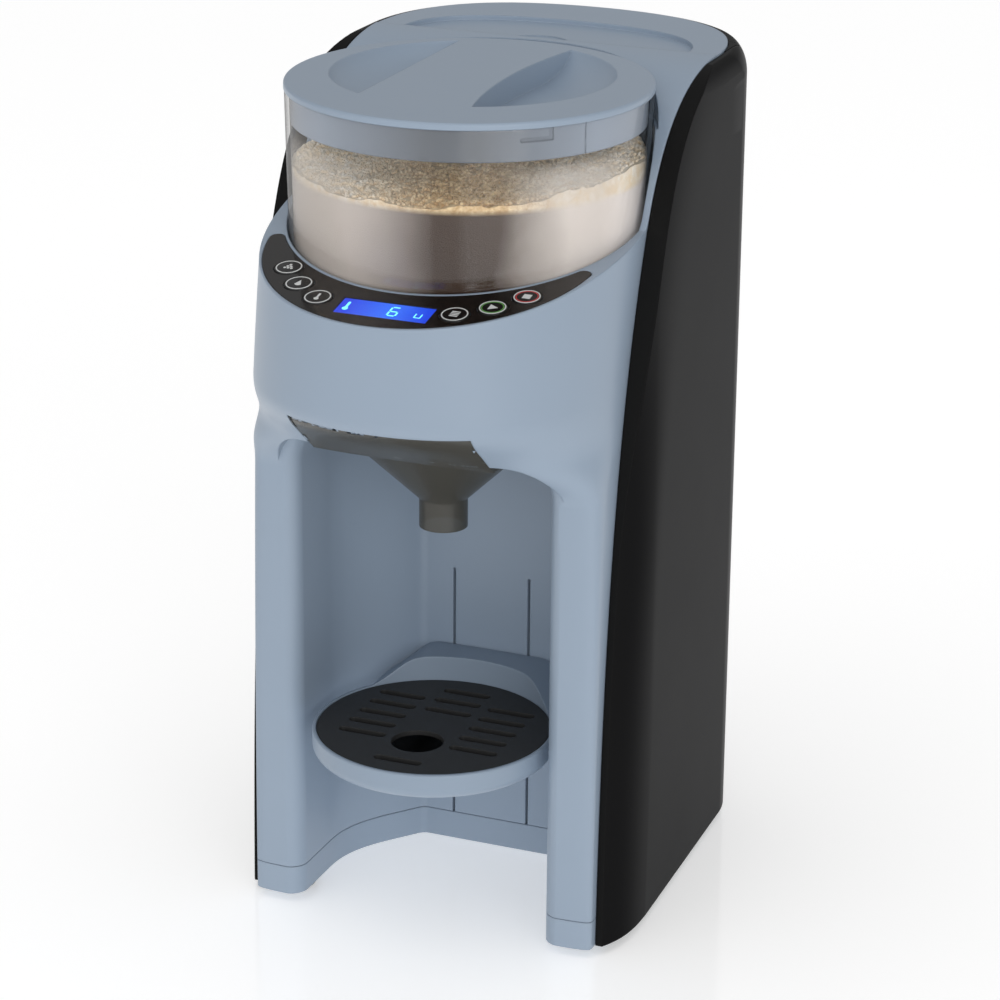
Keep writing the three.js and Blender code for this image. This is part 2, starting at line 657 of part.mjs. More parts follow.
// Space of the alcove with its rounded mouth, or that space grown by a wall's thickness
function alcoveVoid(offset) {
  const flatten = (point) => new THREE.Vector2(point.x, point.z);
  const inner = common(
    prismZ(alcovePlan(offset), BASE_BOTTOM_Z - CUT_OVERRUN, ALCOVE_TOP_Z + offset, ALCOVE_STEPS),
    loft([archRing(FRONT_Y, offset), archRing(ALCOVE_BACK_Y + CUT_OVERRUN + offset, offset)], flatten)
      .translate([0, 0, offset]),
  );
  const rings = [archRing(FRONT_Y - CUT_OVERRUN, MOUTH_ROUNDING + offset)];
  for (let i = 0; i <= MOUTH_STEPS; i += 1) {
    const angle = (Math.PI / 2) * (i / MOUTH_STEPS);
    const flare = MOUTH_ROUNDING * (1 - Math.sin(angle));
    rings.push(archRing(COLUMN_Y + MOUTH_ROUNDING * (1 - Math.cos(angle)) + offset, flare + offset));
  }
  const mouth = loft(rings, flatten).translate([0, 0, offset]);
  return join(inner, mouth);
}

function tilted(solidBuilder) {
  const matrix = new THREE.Matrix4().makeRotationX(PANEL_TILT);
  matrix.setPosition(0, PANEL_PLANE_Y, PANEL_PLANE_Z);
  return solidBuilder().transform(matrix.elements);
}

const PANEL_CENTRE_Y = FRONT_Y + PANEL_FRONT_BORDER + PANEL_OUTER_RADIUS;
const PANEL_INNER_RADIUS = CONTAINER_BOTTOM_RADIUS + BOWL_CLEARANCE + PANEL_RIM + FIT_GAP;

// Crescent between the head's front and the bowl, with round tips, seen from above
function crescent(outerRadius, innerRadius, tipRadius) {
  const span = CONTAINER_Y - PANEL_CENTRE_Y;
  const toOuter = outerRadius - tipRadius;
  const toInner = innerRadius + tipRadius;
  const along = (span * span + toInner * toInner - toOuter * toOuter) / (2 * span);
  const tipY = CONTAINER_Y - along;
  const tipX = Math.sqrt(toInner * toInner - along * along);
  const outerAngle = Math.atan2(tipY - PANEL_CENTRE_Y, tipX);
  const innerAngle = Math.atan2(tipY - CONTAINER_Y, tipX);
  const shape = new THREE.Shape();
  shape.absarc(0, PANEL_CENTRE_Y, outerRadius, Math.PI - outerAngle, 2 * Math.PI + outerAngle, false);
  shape.absarc(tipX, tipY, tipRadius, outerAngle, Math.PI + innerAngle, false);
  shape.absarc(0, CONTAINER_Y, innerRadius, innerAngle, -Math.PI - innerAngle, true);
  shape.absarc(-tipX, tipY, tipRadius, -innerAngle, Math.PI - outerAngle, false);
  return shape;
}

function underTiltedPlane(shape, top, bottom) {
  const reach = 2 * BODY_WIDTH;
  const slab = tilted(() => block(-reach, reach, -reach, reach, bottom, top));
  return common(prismZ(shape, CHIN_TOP_Z, TOTAL_HEIGHT, 16), slab);
}

const BUTTON_NAMES = ['powder', 'water', 'temperature', 'amount', 'start', 'stop'];

// Button centres in the tilted plane's own coordinates, three on each side of the display
function buttonPlaces() {
  const radius = PANEL_OUTER_RADIUS - BUTTON_CIRCLE_INSET;
  const angles = [2, 1, 0].map((step) => -(BUTTON_FIRST_ANGLE + step * BUTTON_ANGLE_STEP));
  const all = [...angles, ...angles.map((angle) => -angle).reverse()];
  return all.map((degrees) => {
    const angle = THREE.MathUtils.degToRad(degrees);
    const y = PANEL_CENTRE_Y - radius * Math.cos(angle);
    return [BUTTON_SHIFT_X + radius * Math.sin(angle), (y - PANEL_PLANE_Y) / Math.cos(PANEL_TILT)];
  });
}

const BUTTON_PLACES = buttonPlaces();
const DISPLAY_FRONT = (FRONT_Y + PANEL_FRONT_BORDER + DISPLAY_FROM_PANEL_EDGE - PANEL_PLANE_Y)
  / Math.cos(PANEL_TILT);

function displayBlock(margin, top, bottom) {
  return block(
    DISPLAY_X - DISPLAY_WIDTH / 2 - margin,
    DISPLAY_X + DISPLAY_WIDTH / 2 + margin,
    DISPLAY_FRONT - margin,
    DISPLAY_FRONT + DISPLAY_HEIGHT + margin,
    bottom,
    top,
  );
}

function buttonHoles(radius, top, bottom) {
  return join(...BUTTON_PLACES.map(([x, y]) => rod(radius, x, y, bottom, top, 24)));
}

// Band of the chin that the funnel's visor covers
function chinBand(margin, setback) {
  const skin = housingLoft(HOUSING_BOTTOM_Z, CHIN_TOP_Z + 2 * WALL, 0);
  const reach = FLANGE_HALF_WIDTH + margin;
  const zone = block(-reach, reach, FRONT_Y - CUT_OVERRUN, COLUMN_Y,
    ALCOVE_TOP_Z - margin - FUNNEL_ROOF_GAP, ALCOVE_TOP_Z + FLANGE_HEIGHT + margin);
  return cut(common(skin, zone), skin.translate([0, setback, 0]));
}

function trackSlots() {
  return join(...[-1, 1].map((side) => block(
    side * TRACK_SLOT_X - TRACK_SLOT_WIDTH / 2,
    side * TRACK_SLOT_X + TRACK_SLOT_WIDTH / 2,
    ALCOVE_BACK_Y - CUT_OVERRUN,
    ALCOVE_BACK_Y + WALL + CUT_OVERRUN,
    TRACK_BOTTOM_Z,
    TRACK_BOTTOM_Z + TRACK_LENGTH,
  )));
}

const FUNNEL_PLATE_TOP_Z = ALCOVE_TOP_Z - FUNNEL_ROOF_GAP;
const FUNNEL_PLATE_BOTTOM_Z = FUNNEL_PLATE_TOP_Z - FUNNEL_PLATE_THICKNESS;
const FUNNEL_PLATE_REAR_Y = FUNNEL_Y + FUNNEL_RADIUS + FUNNEL_PLATE_REAR_MARGIN;

// Rails under the alcove roof that carry the funnel's plate
function funnelRails() {
  const webInner = FUNNEL_PLATE_HALF_WIDTH + FIT_GAP;
  const lipTop = FUNNEL_PLATE_BOTTOM_Z - FIT_GAP;
  const front = COLUMN_Y - RAIL_FRONT_SETBACK;
  const profile = outline([
    [webInner - RAIL_LIP, lipTop - RAIL_WEB],
    [webInner + RAIL_WEB, lipTop - RAIL_WEB],
    [webInner + RAIL_WEB, ALCOVE_TOP_Z + WALL / 2],
    [webInner, ALCOVE_TOP_Z + WALL / 2],
    [webInner, lipTop],
    [webInner - RAIL_LIP, lipTop],
  ]);
  const right = prismY(profile, front, FUNNEL_PLATE_REAR_Y);
  return join(right, right.mirror([1, 0, 0]));
}

function housingCavity() {
  const inner = housingLoft(HOUSING_BOTTOM_Z - CUT_OVERRUN, TOTAL_HEIGHT, WALL);
  const walls = join(
    aboveDeck(WALL),
    bowl(WALL),
    lidRoom(WALL),
    alcoveVoid(WALL),
    chinBand(WALL, FLANGE_SETBACK + FLANGE_BACKING),
  );
  const shelf = block(-BODY_WIDTH, BODY_WIDTH, -BODY_DEPTH, HOUSING_REAR_Y + CUT_OVERRUN,
    LID_SHELF_Z - WALL, TOTAL_HEIGHT + CUT_OVERRUN);
  return cut(inner, walls, shelf);
}

const LID_SHELF_Z = TOTAL_HEIGHT - LID_PANEL_TOP_DROP - LID_PANEL_THICKNESS - FIT_GAP;
const DECK_END_Y = REAR_Y - DECK_END_INSET;

// The moulded housing: columns, alcove, chin, head, bowl, shoulders and deck in one piece
function frontHousing() {
  const body = housingLoft(HOUSING_BOTTOM_Z, TOTAL_HEIGHT, 0);
  const behind = block(-BODY_WIDTH, BODY_WIDTH, DECK_REAR_Y, HOUSING_REAR_Y + CUT_OVERRUN,
    HOUSING_BOTTOM_Z - CUT_OVERRUN, TOTAL_HEIGHT + CUT_OVERRUN);
  const panelRecess = underTiltedPlane(
    crescent(PANEL_OUTER_RADIUS + FIT_GAP, PANEL_INNER_RADIUS - FIT_GAP, PANEL_TIP_RADIUS + FIT_GAP),
    CUT_OVERRUN,
    -PANEL_THICKNESS - FIT_GAP,
  );
  const deckDepth = -2 * WALL - PANEL_THICKNESS;
  const holes = tilted(() => join(
    buttonHoles(BUTTON_RADIUS + FIT_GAP, CUT_OVERRUN, deckDepth),
    displayBlock(FIT_GAP, CUT_OVERRUN, deckDepth),
  ));
  const floorHoles = join(
    rod(COUPLING_RADIUS + COUPLING_CLEARANCE, 0, CONTAINER_Y, BOWL_FLOOR_Z - 2 * WALL, BOWL_FLOOR_Z + WALL, 32),
    rod(OUTLET_RADIUS, 0, FUNNEL_Y, ALCOVE_TOP_Z - CUT_OVERRUN, BOWL_FLOOR_Z + WALL, 32),
    rod(NOZZLE_TIP_RADIUS + FIT_GAP, NOZZLE_X, FUNNEL_Y, ALCOVE_TOP_Z - CUT_OVERRUN,
      ALCOVE_TOP_Z + 2 * WALL, 16),
  );
  const grooveHalf = FUNNEL_PLATE_HALF_WIDTH + FIT_GAP;
  const plateGroove = block(-grooveHalf, grooveHalf, COLUMN_Y, FUNNEL_PLATE_REAR_Y + FIT_GAP,
    FUNNEL_PLATE_BOTTOM_Z - FIT_GAP, ALCOVE_TOP_Z);
  const shell = cut(body, aboveDeck(0), bowl(0), lidRoom(0), alcoveVoid(0), behind, housingCavity(),
    chinBand(FIT_GAP, FLANGE_SETBACK + FIT_GAP), panelRecess, holes, floorHoles, trackSlots(),
    plateGroove);
  return join(shell, funnelRails());
}

// Frame that joins the housing to the bulkhead: two side walls and the shelf under the tank lid
function innerFrame() {
  const reach = HOUSING_HALF_WIDTH - WALL;
  const front = DECK_REAR_Y + FIT_GAP;
  return cut(
    block(-HOUSING_HALF_WIDTH, HOUSING_HALF_WIDTH, front, HOUSING_REAR_Y, HOUSING_BOTTOM_Z, LID_SHELF_Z),
    block(-reach, reach, front - CUT_OVERRUN, HOUSING_REAR_Y + CUT_OVERRUN,
      HOUSING_BOTTOM_Z - CUT_OVERRUN, LID_SHELF_Z - WALL),
  );
}

// Wedge between the lid panel's curve and a side shell; its straight inner face stays clear of the curve
function deckCorner(side) {
  const outer = HOUSING_HALF_WIDTH;
  const wedge = prismZ(outline([
    [outer, SHELL_REAR_Y - CORNER_LENGTH],
    [outer, SHELL_REAR_Y],
    [outer - CORNER_WIDTH, SHELL_REAR_Y],
  ]), LID_SHELF_Z + FIT_GAP, TOTAL_HEIGHT - LID_FRAME_TOP_BELOW_TOP);
  return side > 0 ? wedge : wedge.mirror([1, 0, 0]);
}

// Base band with a floor, under the columns and round the alcove
function basePlinth() {
  const ring = housingRing(HOUSING_BOTTOM_Z, 0).map((point) => [point.x, point.y]);
  const innerRing = housingRing(HOUSING_BOTTOM_Z, WALL).map((point) => [point.x, point.y]);
  const body = prismZ(outline(ring), BASE_BOTTOM_Z, BASE_TOP_Z);
  const hollow = cut(prismZ(outline(innerRing), BASE_BOTTOM_Z + WALL, BASE_TOP_Z + CUT_OVERRUN), alcoveVoid(WALL),
    block(-BODY_WIDTH, BODY_WIDTH, HOUSING_REAR_Y - WALL, HOUSING_REAR_Y + CUT_OVERRUN, 0, TOTAL_HEIGHT));
  return cut(body, alcoveVoid(0), hollow);
}

// Plan of the whole rear: tapering sides, round corners and a slightly curved back
function rearCurve(inset) {
  const wide = BODY_WIDTH / 2 - inset;
  return new THREE.CubicBezierCurve(
    new THREE.Vector2(wide - TAPER_IN, TAPER_END_Y),
    new THREE.Vector2(REAR_BULGE_X - inset, TAPER_END_Y + REAR_BULGE_BEHIND_TAPER - inset / 2),
    new THREE.Vector2(REAR_FLAT_X, REAR_Y - inset),
    new THREE.Vector2(0, REAR_Y - inset),
  ).getPoints(REAR_STEPS);
}

// Plan of the blue rear deck and, smaller, of the dish in it
function deckCurve(halfWidth, rearY) {
  return new THREE.CubicBezierCurve(
    new THREE.Vector2(halfWidth, DECK_START_Y),
    new THREE.Vector2(halfWidth - DECK_CURVE_PULL, DECK_START_Y + (rearY - DECK_START_Y) * DECK_BULGE_SHARE),
    new THREE.Vector2(halfWidth * DECK_FLAT_SHARE, rearY),
    new THREE.Vector2(0, rearY),
  ).getPoints(REAR_STEPS);
}

// A half outline from the right side to the middle of the back, mirrored to the left
function mirrored(points) {
  const left = points.slice(0, -1).reverse().map((point) => new THREE.Vector2(-point.x, point.y));
  return [...points, ...left];
}

function deckPrism(halfWidth, rearY, frontY, z0, z1) {
  const start = new THREE.Vector2(halfWidth, DECK_REAR_Y - CUT_OVERRUN);
  return common(
    prismZ(new THREE.Shape(mirrored([start, ...deckCurve(halfWidth, rearY)])), z0, z1),
    block(-BODY_WIDTH, BODY_WIDTH, frontY, BODY_DEPTH, z0, z1),
  );
}

// Solid of the plan with the rounded upper edge that shells and tank lid share
function rearEnvelope() {
  const roundStart = TANK_TOP_Z + FIT_GAP;
  const top = TOTAL_HEIGHT - LID_FRAME_TOP_BELOW_TOP;
  const lowerX = BODY_WIDTH / 2;
  const upperX = HOUSING_HALF_WIDTH + LID_FRAME_LIP;
  const sides = (x) => [new THREE.Vector2(x, FRONT_Y), new THREE.Vector2(x, TAPER_START_Y)];
  const lower = mirrored([...sides(lowerX), ...rearCurve(0)]);
  const upper = mirrored([...sides(upperX), ...deckCurve(upperX, DECK_END_Y + LID_FRAME_LIP)]);
  const ringAt = (inward, z) => lower.map((point, i) => {
    const mixed = point.clone().lerp(upper[i], inward);
    return new THREE.Vector3(mixed.x, mixed.y, z);
  });
  const rings = LID_ROUND_ANGLE_SHARES.map((share) => {
    const angle = (share * Math.PI) / 2;
    return ringAt(1 - Math.cos(angle), roundStart + (top - roundStart) * Math.sin(angle));
  });
  return loft([ringAt(0, BASE_BOTTOM_Z), ...rings], (point) => new THREE.Vector2(point.x, point.y));
}

function planPrism(inset, z0, z1) {
  const wide = BODY_WIDTH / 2 - inset;
  const sides = [new THREE.Vector2(wide, FRONT_Y), new THREE.Vector2(wide, TAPER_START_Y)];
  return prismZ(new THREE.Shape(mirrored([...sides, ...rearCurve(inset)])), z0, z1);
}

// One dark side shell: the side view inset step by step towards its rounded, tapering outer face
function sideShell(side) {
  const inner = HOUSING_HALF_WIDTH + FIT_GAP;
  const edgeX = inner + SHELL_EDGE_THICKNESS;
  const fullDepth = BODY_WIDTH / 2 - inner;
  const bottom = BASE_BOTTOM_Z;
  const rear = SHELL_REAR_Y + CUT_OVERRUN;
  const place = (depth, y, z) => {
    const taper = (TAPER_IN * Math.max(0, y - TAPER_START_Y)) / (TAPER_END_Y - TAPER_START_Y);
    return new THREE.Vector3(inner + depth * (1 - taper / fullDepth), y, z);
  };
  const placeOuter = (depth, y, z) => {
    const high = smoothStep(z, TOTAL_HEIGHT - SHELL_NARROW_BELOW_TOP, TOTAL_HEIGHT - SHELL_WIDE_BELOW_TOP);
    const widening = depth > 0 ? (fullDepth - depth) * SHELL_WIDENING_SHARE * high : 0;
    return place(depth + widening, y, z);
  };
  const ringAt = (depth, inset, placed) => {
    const edge = SHELL_EDGE.map((point, i) => {
      const before = SHELL_EDGE[Math.max(0, i - 1)];
      const after = SHELL_EDGE[Math.min(SHELL_EDGE.length - 1, i + 1)];
      const along = new THREE.Vector2().subVectors(after, before).normalize();
      const z = i === 0 ? bottom : point.y - along.x * inset;
      return placed(depth, point.x + along.y * inset, z);
    });
    return [...edge, placed(depth, rear, TOTAL_HEIGHT - inset), placed(depth, rear, bottom)];
  };
  const flatten = (point) => new THREE.Vector2(point.y, point.z);
  const rings = SHELL_ROUND_DEPTH_SHARES.map((share, i) => ringAt(
    i === 0 ? 0 : edgeX - inner + (BODY_WIDTH / 2 - edgeX) * share,
    SHELL_ROUND_INSET * SHELL_ROUND_INSET_SHARES[i],
    placeOuter,
  ));
  const front = block(0, BODY_WIDTH, -BODY_DEPTH, SHELL_REAR_Y, 0, TOTAL_HEIGHT);
  const cavity = common(
    loft([
      ringAt(-CUT_OVERRUN, SHELL_CAVITY_MARGIN, place),
      ringAt(SHELL_CAVITY_DEPTH, SHELL_CAVITY_MARGIN, place),
    ], flatten),
    block(0, BODY_WIDTH, -BODY_DEPTH, SHELL_REAR_Y - WALL, BASE_BOTTOM_Z + WALL, TOTAL_HEIGHT),
  );
  const shell = common(cut(common(loft(rings, flatten), front), cavity), rearEnvelope());
  return side > 0 ? shell : shell.mirror([1, 0, 0]);
}

// Rear bulkhead with the hollow base that the tank stands on
function rearChassis() {
  const plateHalf = HOUSING_HALF_WIDTH;
  const plate = block(-plateHalf, plateHalf, CHASSIS_Y, SHELL_REAR_Y, BASE_BOTTOM_Z, LID_SHELF_Z - FIT_GAP);
  const base = common(
    planPrism(0, BASE_BOTTOM_Z, REAR_BASE_TOP_Z),
    block(-BODY_WIDTH, BODY_WIDTH, TANK_Y, REAR_Y, BASE_BOTTOM_Z, REAR_BASE_TOP_Z),
  );
  const bridge = block(-plateHalf, plateHalf, SHELL_REAR_Y - CHASSIS_PLATE / 2, TANK_Y + WALL,
    BASE_BOTTOM_Z, REAR_BASE_TOP_Z);
  const cavity = common(
    planPrism(REAR_BASE_WALL, BASE_BOTTOM_Z + REAR_BASE_WALL, REAR_BASE_TOP_Z - REAR_BASE_WALL),
    block(-REAR_CAVITY_HALF_WIDTH, REAR_CAVITY_HALF_WIDTH, TANK_Y + WALL, REAR_Y, 0, REAR_BASE_TOP_Z),
  );
  const windowBottom = BASE_TOP_Z + WALL;
  const window = block(-CHASSIS_WINDOW_HALF_WIDTH, CHASSIS_WINDOW_HALF_WIDTH, CHASSIS_Y - CUT_OVERRUN,
    TANK_Y + WALL + CUT_OVERRUN, windowBottom, windowBottom + CHASSIS_WINDOW_HEIGHT);
  const seatHole = rod(SEAT_RADIUS + FIT_GAP, 0, VALVE_Y, REAR_BASE_TOP_Z - 2 * REAR_BASE_WALL,
    REAR_BASE_TOP_Z + CUT_OVERRUN);
  const inletHole = block(INLET_X - INLET_HALF_WIDTH - FIT_GAP, INLET_X + INLET_HALF_WIDTH + FIT_GAP,
    REAR_Y - INLET_DEPTH, REAR_Y + CUT_OVERRUN,
    INLET_BOTTOM_Z - FIT_GAP, INLET_BOTTOM_Z + INLET_HEIGHT + FIT_GAP);
  return cut(join(plate, base, bridge), cavity, window, seatHole, inletHole);
}

function powerInlet() {
  const body = common(
    block(INLET_X - INLET_HALF_WIDTH, INLET_X + INLET_HALF_WIDTH, REAR_Y - INLET_DEPTH, REAR_Y,
      INLET_BOTTOM_Z, INLET_BOTTOM_Z + INLET_HEIGHT),
    planPrism(INLET_RECESS, 0, TOTAL_HEIGHT),
  );
  const hollow = block(INLET_X - INLET_HALF_WIDTH + INLET_WALL, INLET_X + INLET_HALF_WIDTH - INLET_WALL,
    REAR_Y - INLET_DEPTH + INLET_WALL, REAR_Y,
    INLET_BOTTOM_Z + INLET_WALL, INLET_BOTTOM_Z + INLET_HEIGHT - INLET_WALL);
  const pins = [-1, 1].map((side) => {
    const circle = new THREE.Shape();
    circle.absarc(INLET_X + (side * INLET_PIN_SPACING) / 2, INLET_BOTTOM_Z + INLET_HEIGHT / 2,
      INLET_PIN_RADIUS, 0, 2 * Math.PI);
    return prismY(circle, REAR_Y - INLET_DEPTH, REAR_Y - 2 * INLET_WALL - INLET_RECESS, 8);
  });
  return join(cut(body, hollow), ...pins);
}

function foot(x, y) {
  return revolve([
    [0, 0],
    [FOOT_RADIUS - WALL / 2, 0],
    [FOOT_RADIUS, FOOT_HEIGHT / 2],
    [FOOT_RADIUS, FOOT_HEIGHT],
    [0, FOOT_HEIGHT],
  ], x, y, 24);
}

// Clear container with an inner floor, a short skirt below it and the outlet spout
function containerRadiusAt(z) {
  const share = (z - CONTAINER_BOTTOM_Z) / CONTAINER_HEIGHT;
  return CONTAINER_BOTTOM_RADIUS + (CONTAINER_TOP_RADIUS - CONTAINER_BOTTOM_RADIUS) * share;
}

function powderContainer() {
  const underFloorZ = CONTAINER_FLOOR_Z - CONTAINER_FLOOR;
  const wall = revolve([
    [0, underFloorZ],
    [containerRadiusAt(underFloorZ) - CONTAINER_WALL, underFloorZ],
    [CONTAINER_BOTTOM_RADIUS - CONTAINER_WALL, CONTAINER_BOTTOM_Z],
    [CONTAINER_BOTTOM_RADIUS, CONTAINER_BOTTOM_Z],
    [CONTAINER_TOP_RADIUS, CONTAINER_TOP_Z],
    [CONTAINER_TOP_RADIUS - CONTAINER_WALL, CONTAINER_TOP_Z],
    [containerRadiusAt(CONTAINER_FLOOR_Z) - CONTAINER_WALL, CONTAINER_FLOOR_Z],
    [0, CONTAINER_FLOOR_Z],
  ], 0, CONTAINER_Y);
  const spoutRing = rod(OUTLET_RADIUS + CHUTE_WALL, 0, FUNNEL_Y, CONTAINER_BOTTOM_Z, CONTAINER_FLOOR_Z, 32);
  const outlet = rod(OUTLET_RADIUS, 0, FUNNEL_Y, CONTAINER_BOTTOM_Z - WALL, CONTAINER_FLOOR_Z + WALL, 32);
  const hubHole = rod(WHEEL_HUB_RADIUS + WHEEL_RUNNING_GAP, 0, CONTAINER_Y,
    CONTAINER_BOTTOM_Z - WALL, CONTAINER_FLOOR_Z + WALL, 32);
  return cut(join(wall, spoutRing), outlet, hubHole);
}

const DOSING_BOTTOM_Z = CONTAINER_FLOOR_Z + WHEEL_RUNNING_GAP;
const DOSING_TOP_Z = DOSING_BOTTOM_Z + DOSING_THICKNESS;
const DOG_BOTTOM_Z = BOWL_FLOOR_Z + FIT_GAP;
const HUB_BOTTOM_Z = DOG_BOTTOM_Z + 2 * FIT_GAP;

function dogCross(length, thickness, z0, z1) {
  return join(
    block(-length, length, CONTAINER_Y - thickness / 2, CONTAINER_Y + thickness / 2, z0, z1),
    block(-thickness / 2, thickness / 2, CONTAINER_Y - length, CONTAINER_Y + length, z0, z1),
  );
}

function aroundContainer(count, builder) {
  const pieces = [];
  for (let i = 0; i < count; i += 1) {
    pieces.push(builder((2 * Math.PI * i) / count));
  }
  return join(...pieces);
}

// Dosing wheel: pockets pass over the outlet, its hub takes the drive dog from below
function dosingWheel() {
  const disc = rod(DOSING_RADIUS, 0, CONTAINER_Y, DOSING_BOTTOM_Z, DOSING_TOP_Z, 48);
  const hub = rod(WHEEL_HUB_RADIUS, 0, CONTAINER_Y, HUB_BOTTOM_Z, DOSING_TOP_Z, 32);
  const pockets = aroundContainer(DOSING_POCKETS, (angle) => rod(
    DOSING_POCKET_RADIUS,
    OUTLET_OFFSET * Math.sin(angle),
    CONTAINER_Y - OUTLET_OFFSET * Math.cos(angle),
    DOSING_BOTTOM_Z - CUT_OVERRUN,
    DOSING_TOP_Z + CUT_OVERRUN,
    12,
  ));
  const socket = dogCross(DOG_ARM_LENGTH + DOG_CLEARANCE, DOG_ARM_THICKNESS + 2 * DOG_CLEARANCE,
    HUB_BOTTOM_Z - CUT_OVERRUN, DOG_BOTTOM_Z + DOG_HEIGHT + DOG_CLEARANCE);
  return cut(join(disc, hub), pockets, socket);
}

// Stirring wheel: four arms with upright scraper blades that pass close to the floor and wall
function stirringWheel() {
  const bottom = DOSING_TOP_Z + FIT_GAP;
  const hub = rod(WHEEL_HUB_RADIUS, 0, CONTAINER_Y, bottom, bottom + STIRRER_HUB_HEIGHT, 32);
  const bladeDepth = STIRRER_BLADE_THICKNESS;
  const arm = join(
    block(0, STIRRER_RADIUS - bladeDepth / 2, CONTAINER_Y - STIRRER_ARM_WIDTH / 2,
      CONTAINER_Y + STIRRER_ARM_WIDTH / 2, bottom, bottom + STIRRER_ARM_THICKNESS),
    block(STIRRER_RADIUS - bladeDepth, STIRRER_RADIUS, CONTAINER_Y - STIRRER_ARM_WIDTH,
      CONTAINER_Y + STIRRER_ARM_WIDTH, DOSING_BOTTOM_Z, DOSING_BOTTOM_Z + STIRRER_BLADE_HEIGHT),
  );
  const toAxis = new THREE.Matrix4().makeTranslation(0, -CONTAINER_Y, 0);
  const fromAxis = new THREE.Matrix4().makeTranslation(0, CONTAINER_Y, 0);
  const arms = aroundContainer(STIRRER_ARMS, (angle) => {
    const turn = new THREE.Matrix4().makeRotationZ(angle + Math.PI / STIRRER_ARMS);
    const matrix = fromAxis.clone().multiply(turn).multiply(toAxis);
    return arm.transform(matrix.elements);
  });
  return join(hub, arms);
}

function hubNut() {
  const bottom = DOSING_TOP_Z + FIT_GAP + STIRRER_HUB_HEIGHT + FIT_GAP;
  return rod(HUB_NUT_RADIUS, 0, CONTAINER_Y, bottom, bottom + HUB_NUT_HEIGHT, 6);
}

// Powder load with a hollow below that the stirring wheel turns in
function formulaPowder() {
  const bottom = CONTAINER_FLOOR_Z + FIT_GAP;
  const hollowTop = DOSING_TOP_Z + STIRRER_HUB_HEIGHT + HUB_NUT_HEIGHT + STIRRER_SWEEP_CLEARANCE;
  const reach = (z) => containerRadiusAt(z) - CONTAINER_WALL - FIT_GAP;
  const sweep = Math.hypot(STIRRER_RADIUS, STIRRER_ARM_WIDTH) + STIRRER_SWEEP_CLEARANCE;
  return revolve([
    [0, hollowTop],
    [sweep, hollowTop],
    [sweep, bottom],
    [reach(bottom), bottom],
    [reach(POWDER_TOP_Z), POWDER_TOP_Z],
    [0, POWDER_TOP_Z],
  ], 0, CONTAINER_Y);
}

// Plan of the lid's grip bar: straight on the left, waisted on the right
function gripShape(inset, length) {
  const middleY = CONTAINER_Y + LID_DISH_SHIFT_Y;
  const bend = 2 * LID_GRIP_WAIST_X - LID_GRIP_END_X - inset;
  const shape = new THREE.Shape();
  shape.moveTo(inset - LID_GRIP_HALF_WIDTH, middleY - length);
  shape.lineTo(LID_GRIP_END_X - inset, middleY - length);
  shape.quadraticCurveTo(bend, middleY, LID_GRIP_END_X - inset, middleY + length);
  shape.lineTo(inset - LID_GRIP_HALF_WIDTH, middleY + length);
  return shape;
}

// Lid with two finger scoops left and right of a level grip bar
function containerLid() {
  const skirtRadius = CONTAINER_TOP_RADIUS - CONTAINER_WALL - LID_SKIRT_CLEARANCE;
  const skirtBottom = LID_DISC_BOTTOM_Z - LID_SKIRT_HEIGHT;
  const dishY = CONTAINER_Y + LID_DISH_SHIFT_Y;
  const dishFloorZ = TOTAL_HEIGHT - LID_DISH_DEPTH;
  const grooveTop = skirtBottom + 2 * GASKET_HEIGHT;
  const disc = revolve([
    [0, LID_DISC_BOTTOM_Z],
    [skirtRadius - LID_SKIRT_THICKNESS, LID_DISC_BOTTOM_Z],
    [skirtRadius - LID_SKIRT_THICKNESS, skirtBottom],
    [skirtRadius, skirtBottom],
    [skirtRadius, grooveTop - GASKET_HEIGHT],
    [skirtRadius - GASKET_DEPTH, grooveTop - GASKET_HEIGHT],
    [skirtRadius - GASKET_DEPTH, grooveTop],
    [skirtRadius, grooveTop],
    [skirtRadius, LID_DISC_BOTTOM_Z],
    [LID_DISC_RADIUS, LID_DISC_BOTTOM_Z],
    [LID_DISC_RADIUS, TOTAL_HEIGHT - LID_DISC_THICKNESS / 4],
    [LID_DISC_RADIUS - LID_DISC_THICKNESS / 4, TOTAL_HEIGHT],
    [0, TOTAL_HEIGHT],
  ], 0, CONTAINER_Y);
  const dishCurve = new THREE.QuadraticBezierCurve(
    new THREE.Vector2(LID_DISH_FLOOR_RADIUS, dishFloorZ),
    new THREE.Vector2(LID_DISH_RADIUS - 2 * LID_DISH_WALL, dishFloorZ + LID_DISH_WALL),
    new THREE.Vector2(LID_DISH_RADIUS, TOTAL_HEIGHT),
  ).getPoints(4);
  const bump = revolve([
    [0, dishFloorZ - LID_DISH_WALL],
    ...dishCurve.map((point) => [point.x + LID_DISH_WALL, point.y - LID_DISH_WALL]),
    [0, TOTAL_HEIGHT - LID_DISH_WALL],
  ], LID_DISH_SHIFT_X, dishY);
  const dish = revolve([
    [0, dishFloorZ],
    ...dishCurve.map((point) => [point.x, point.y]),
    [LID_DISH_RADIUS, TOTAL_HEIGHT + CUT_OVERRUN],
    [0, TOTAL_HEIGHT + CUT_OVERRUN],
  ], LID_DISH_SHIFT_X, dishY);
  const grip = prismZ(gripShape(0, LID_DISC_RADIUS), skirtBottom, TOTAL_HEIGHT + CUT_OVERRUN, 8);
  const gripHollow = common(
    prismZ(gripShape(LID_DISH_WALL, LID_DISC_RADIUS), skirtBottom, LID_DISC_BOTTOM_Z, 8),
    rod(LID_DISH_RADIUS - 2 * LID_DISH_WALL, LID_DISH_SHIFT_X, dishY, skirtBottom, LID_DISC_BOTTOM_Z, ROUND_STEPS),
  );
  return cut(join(disc, bump), cut(dish, grip), gripHollow);
}

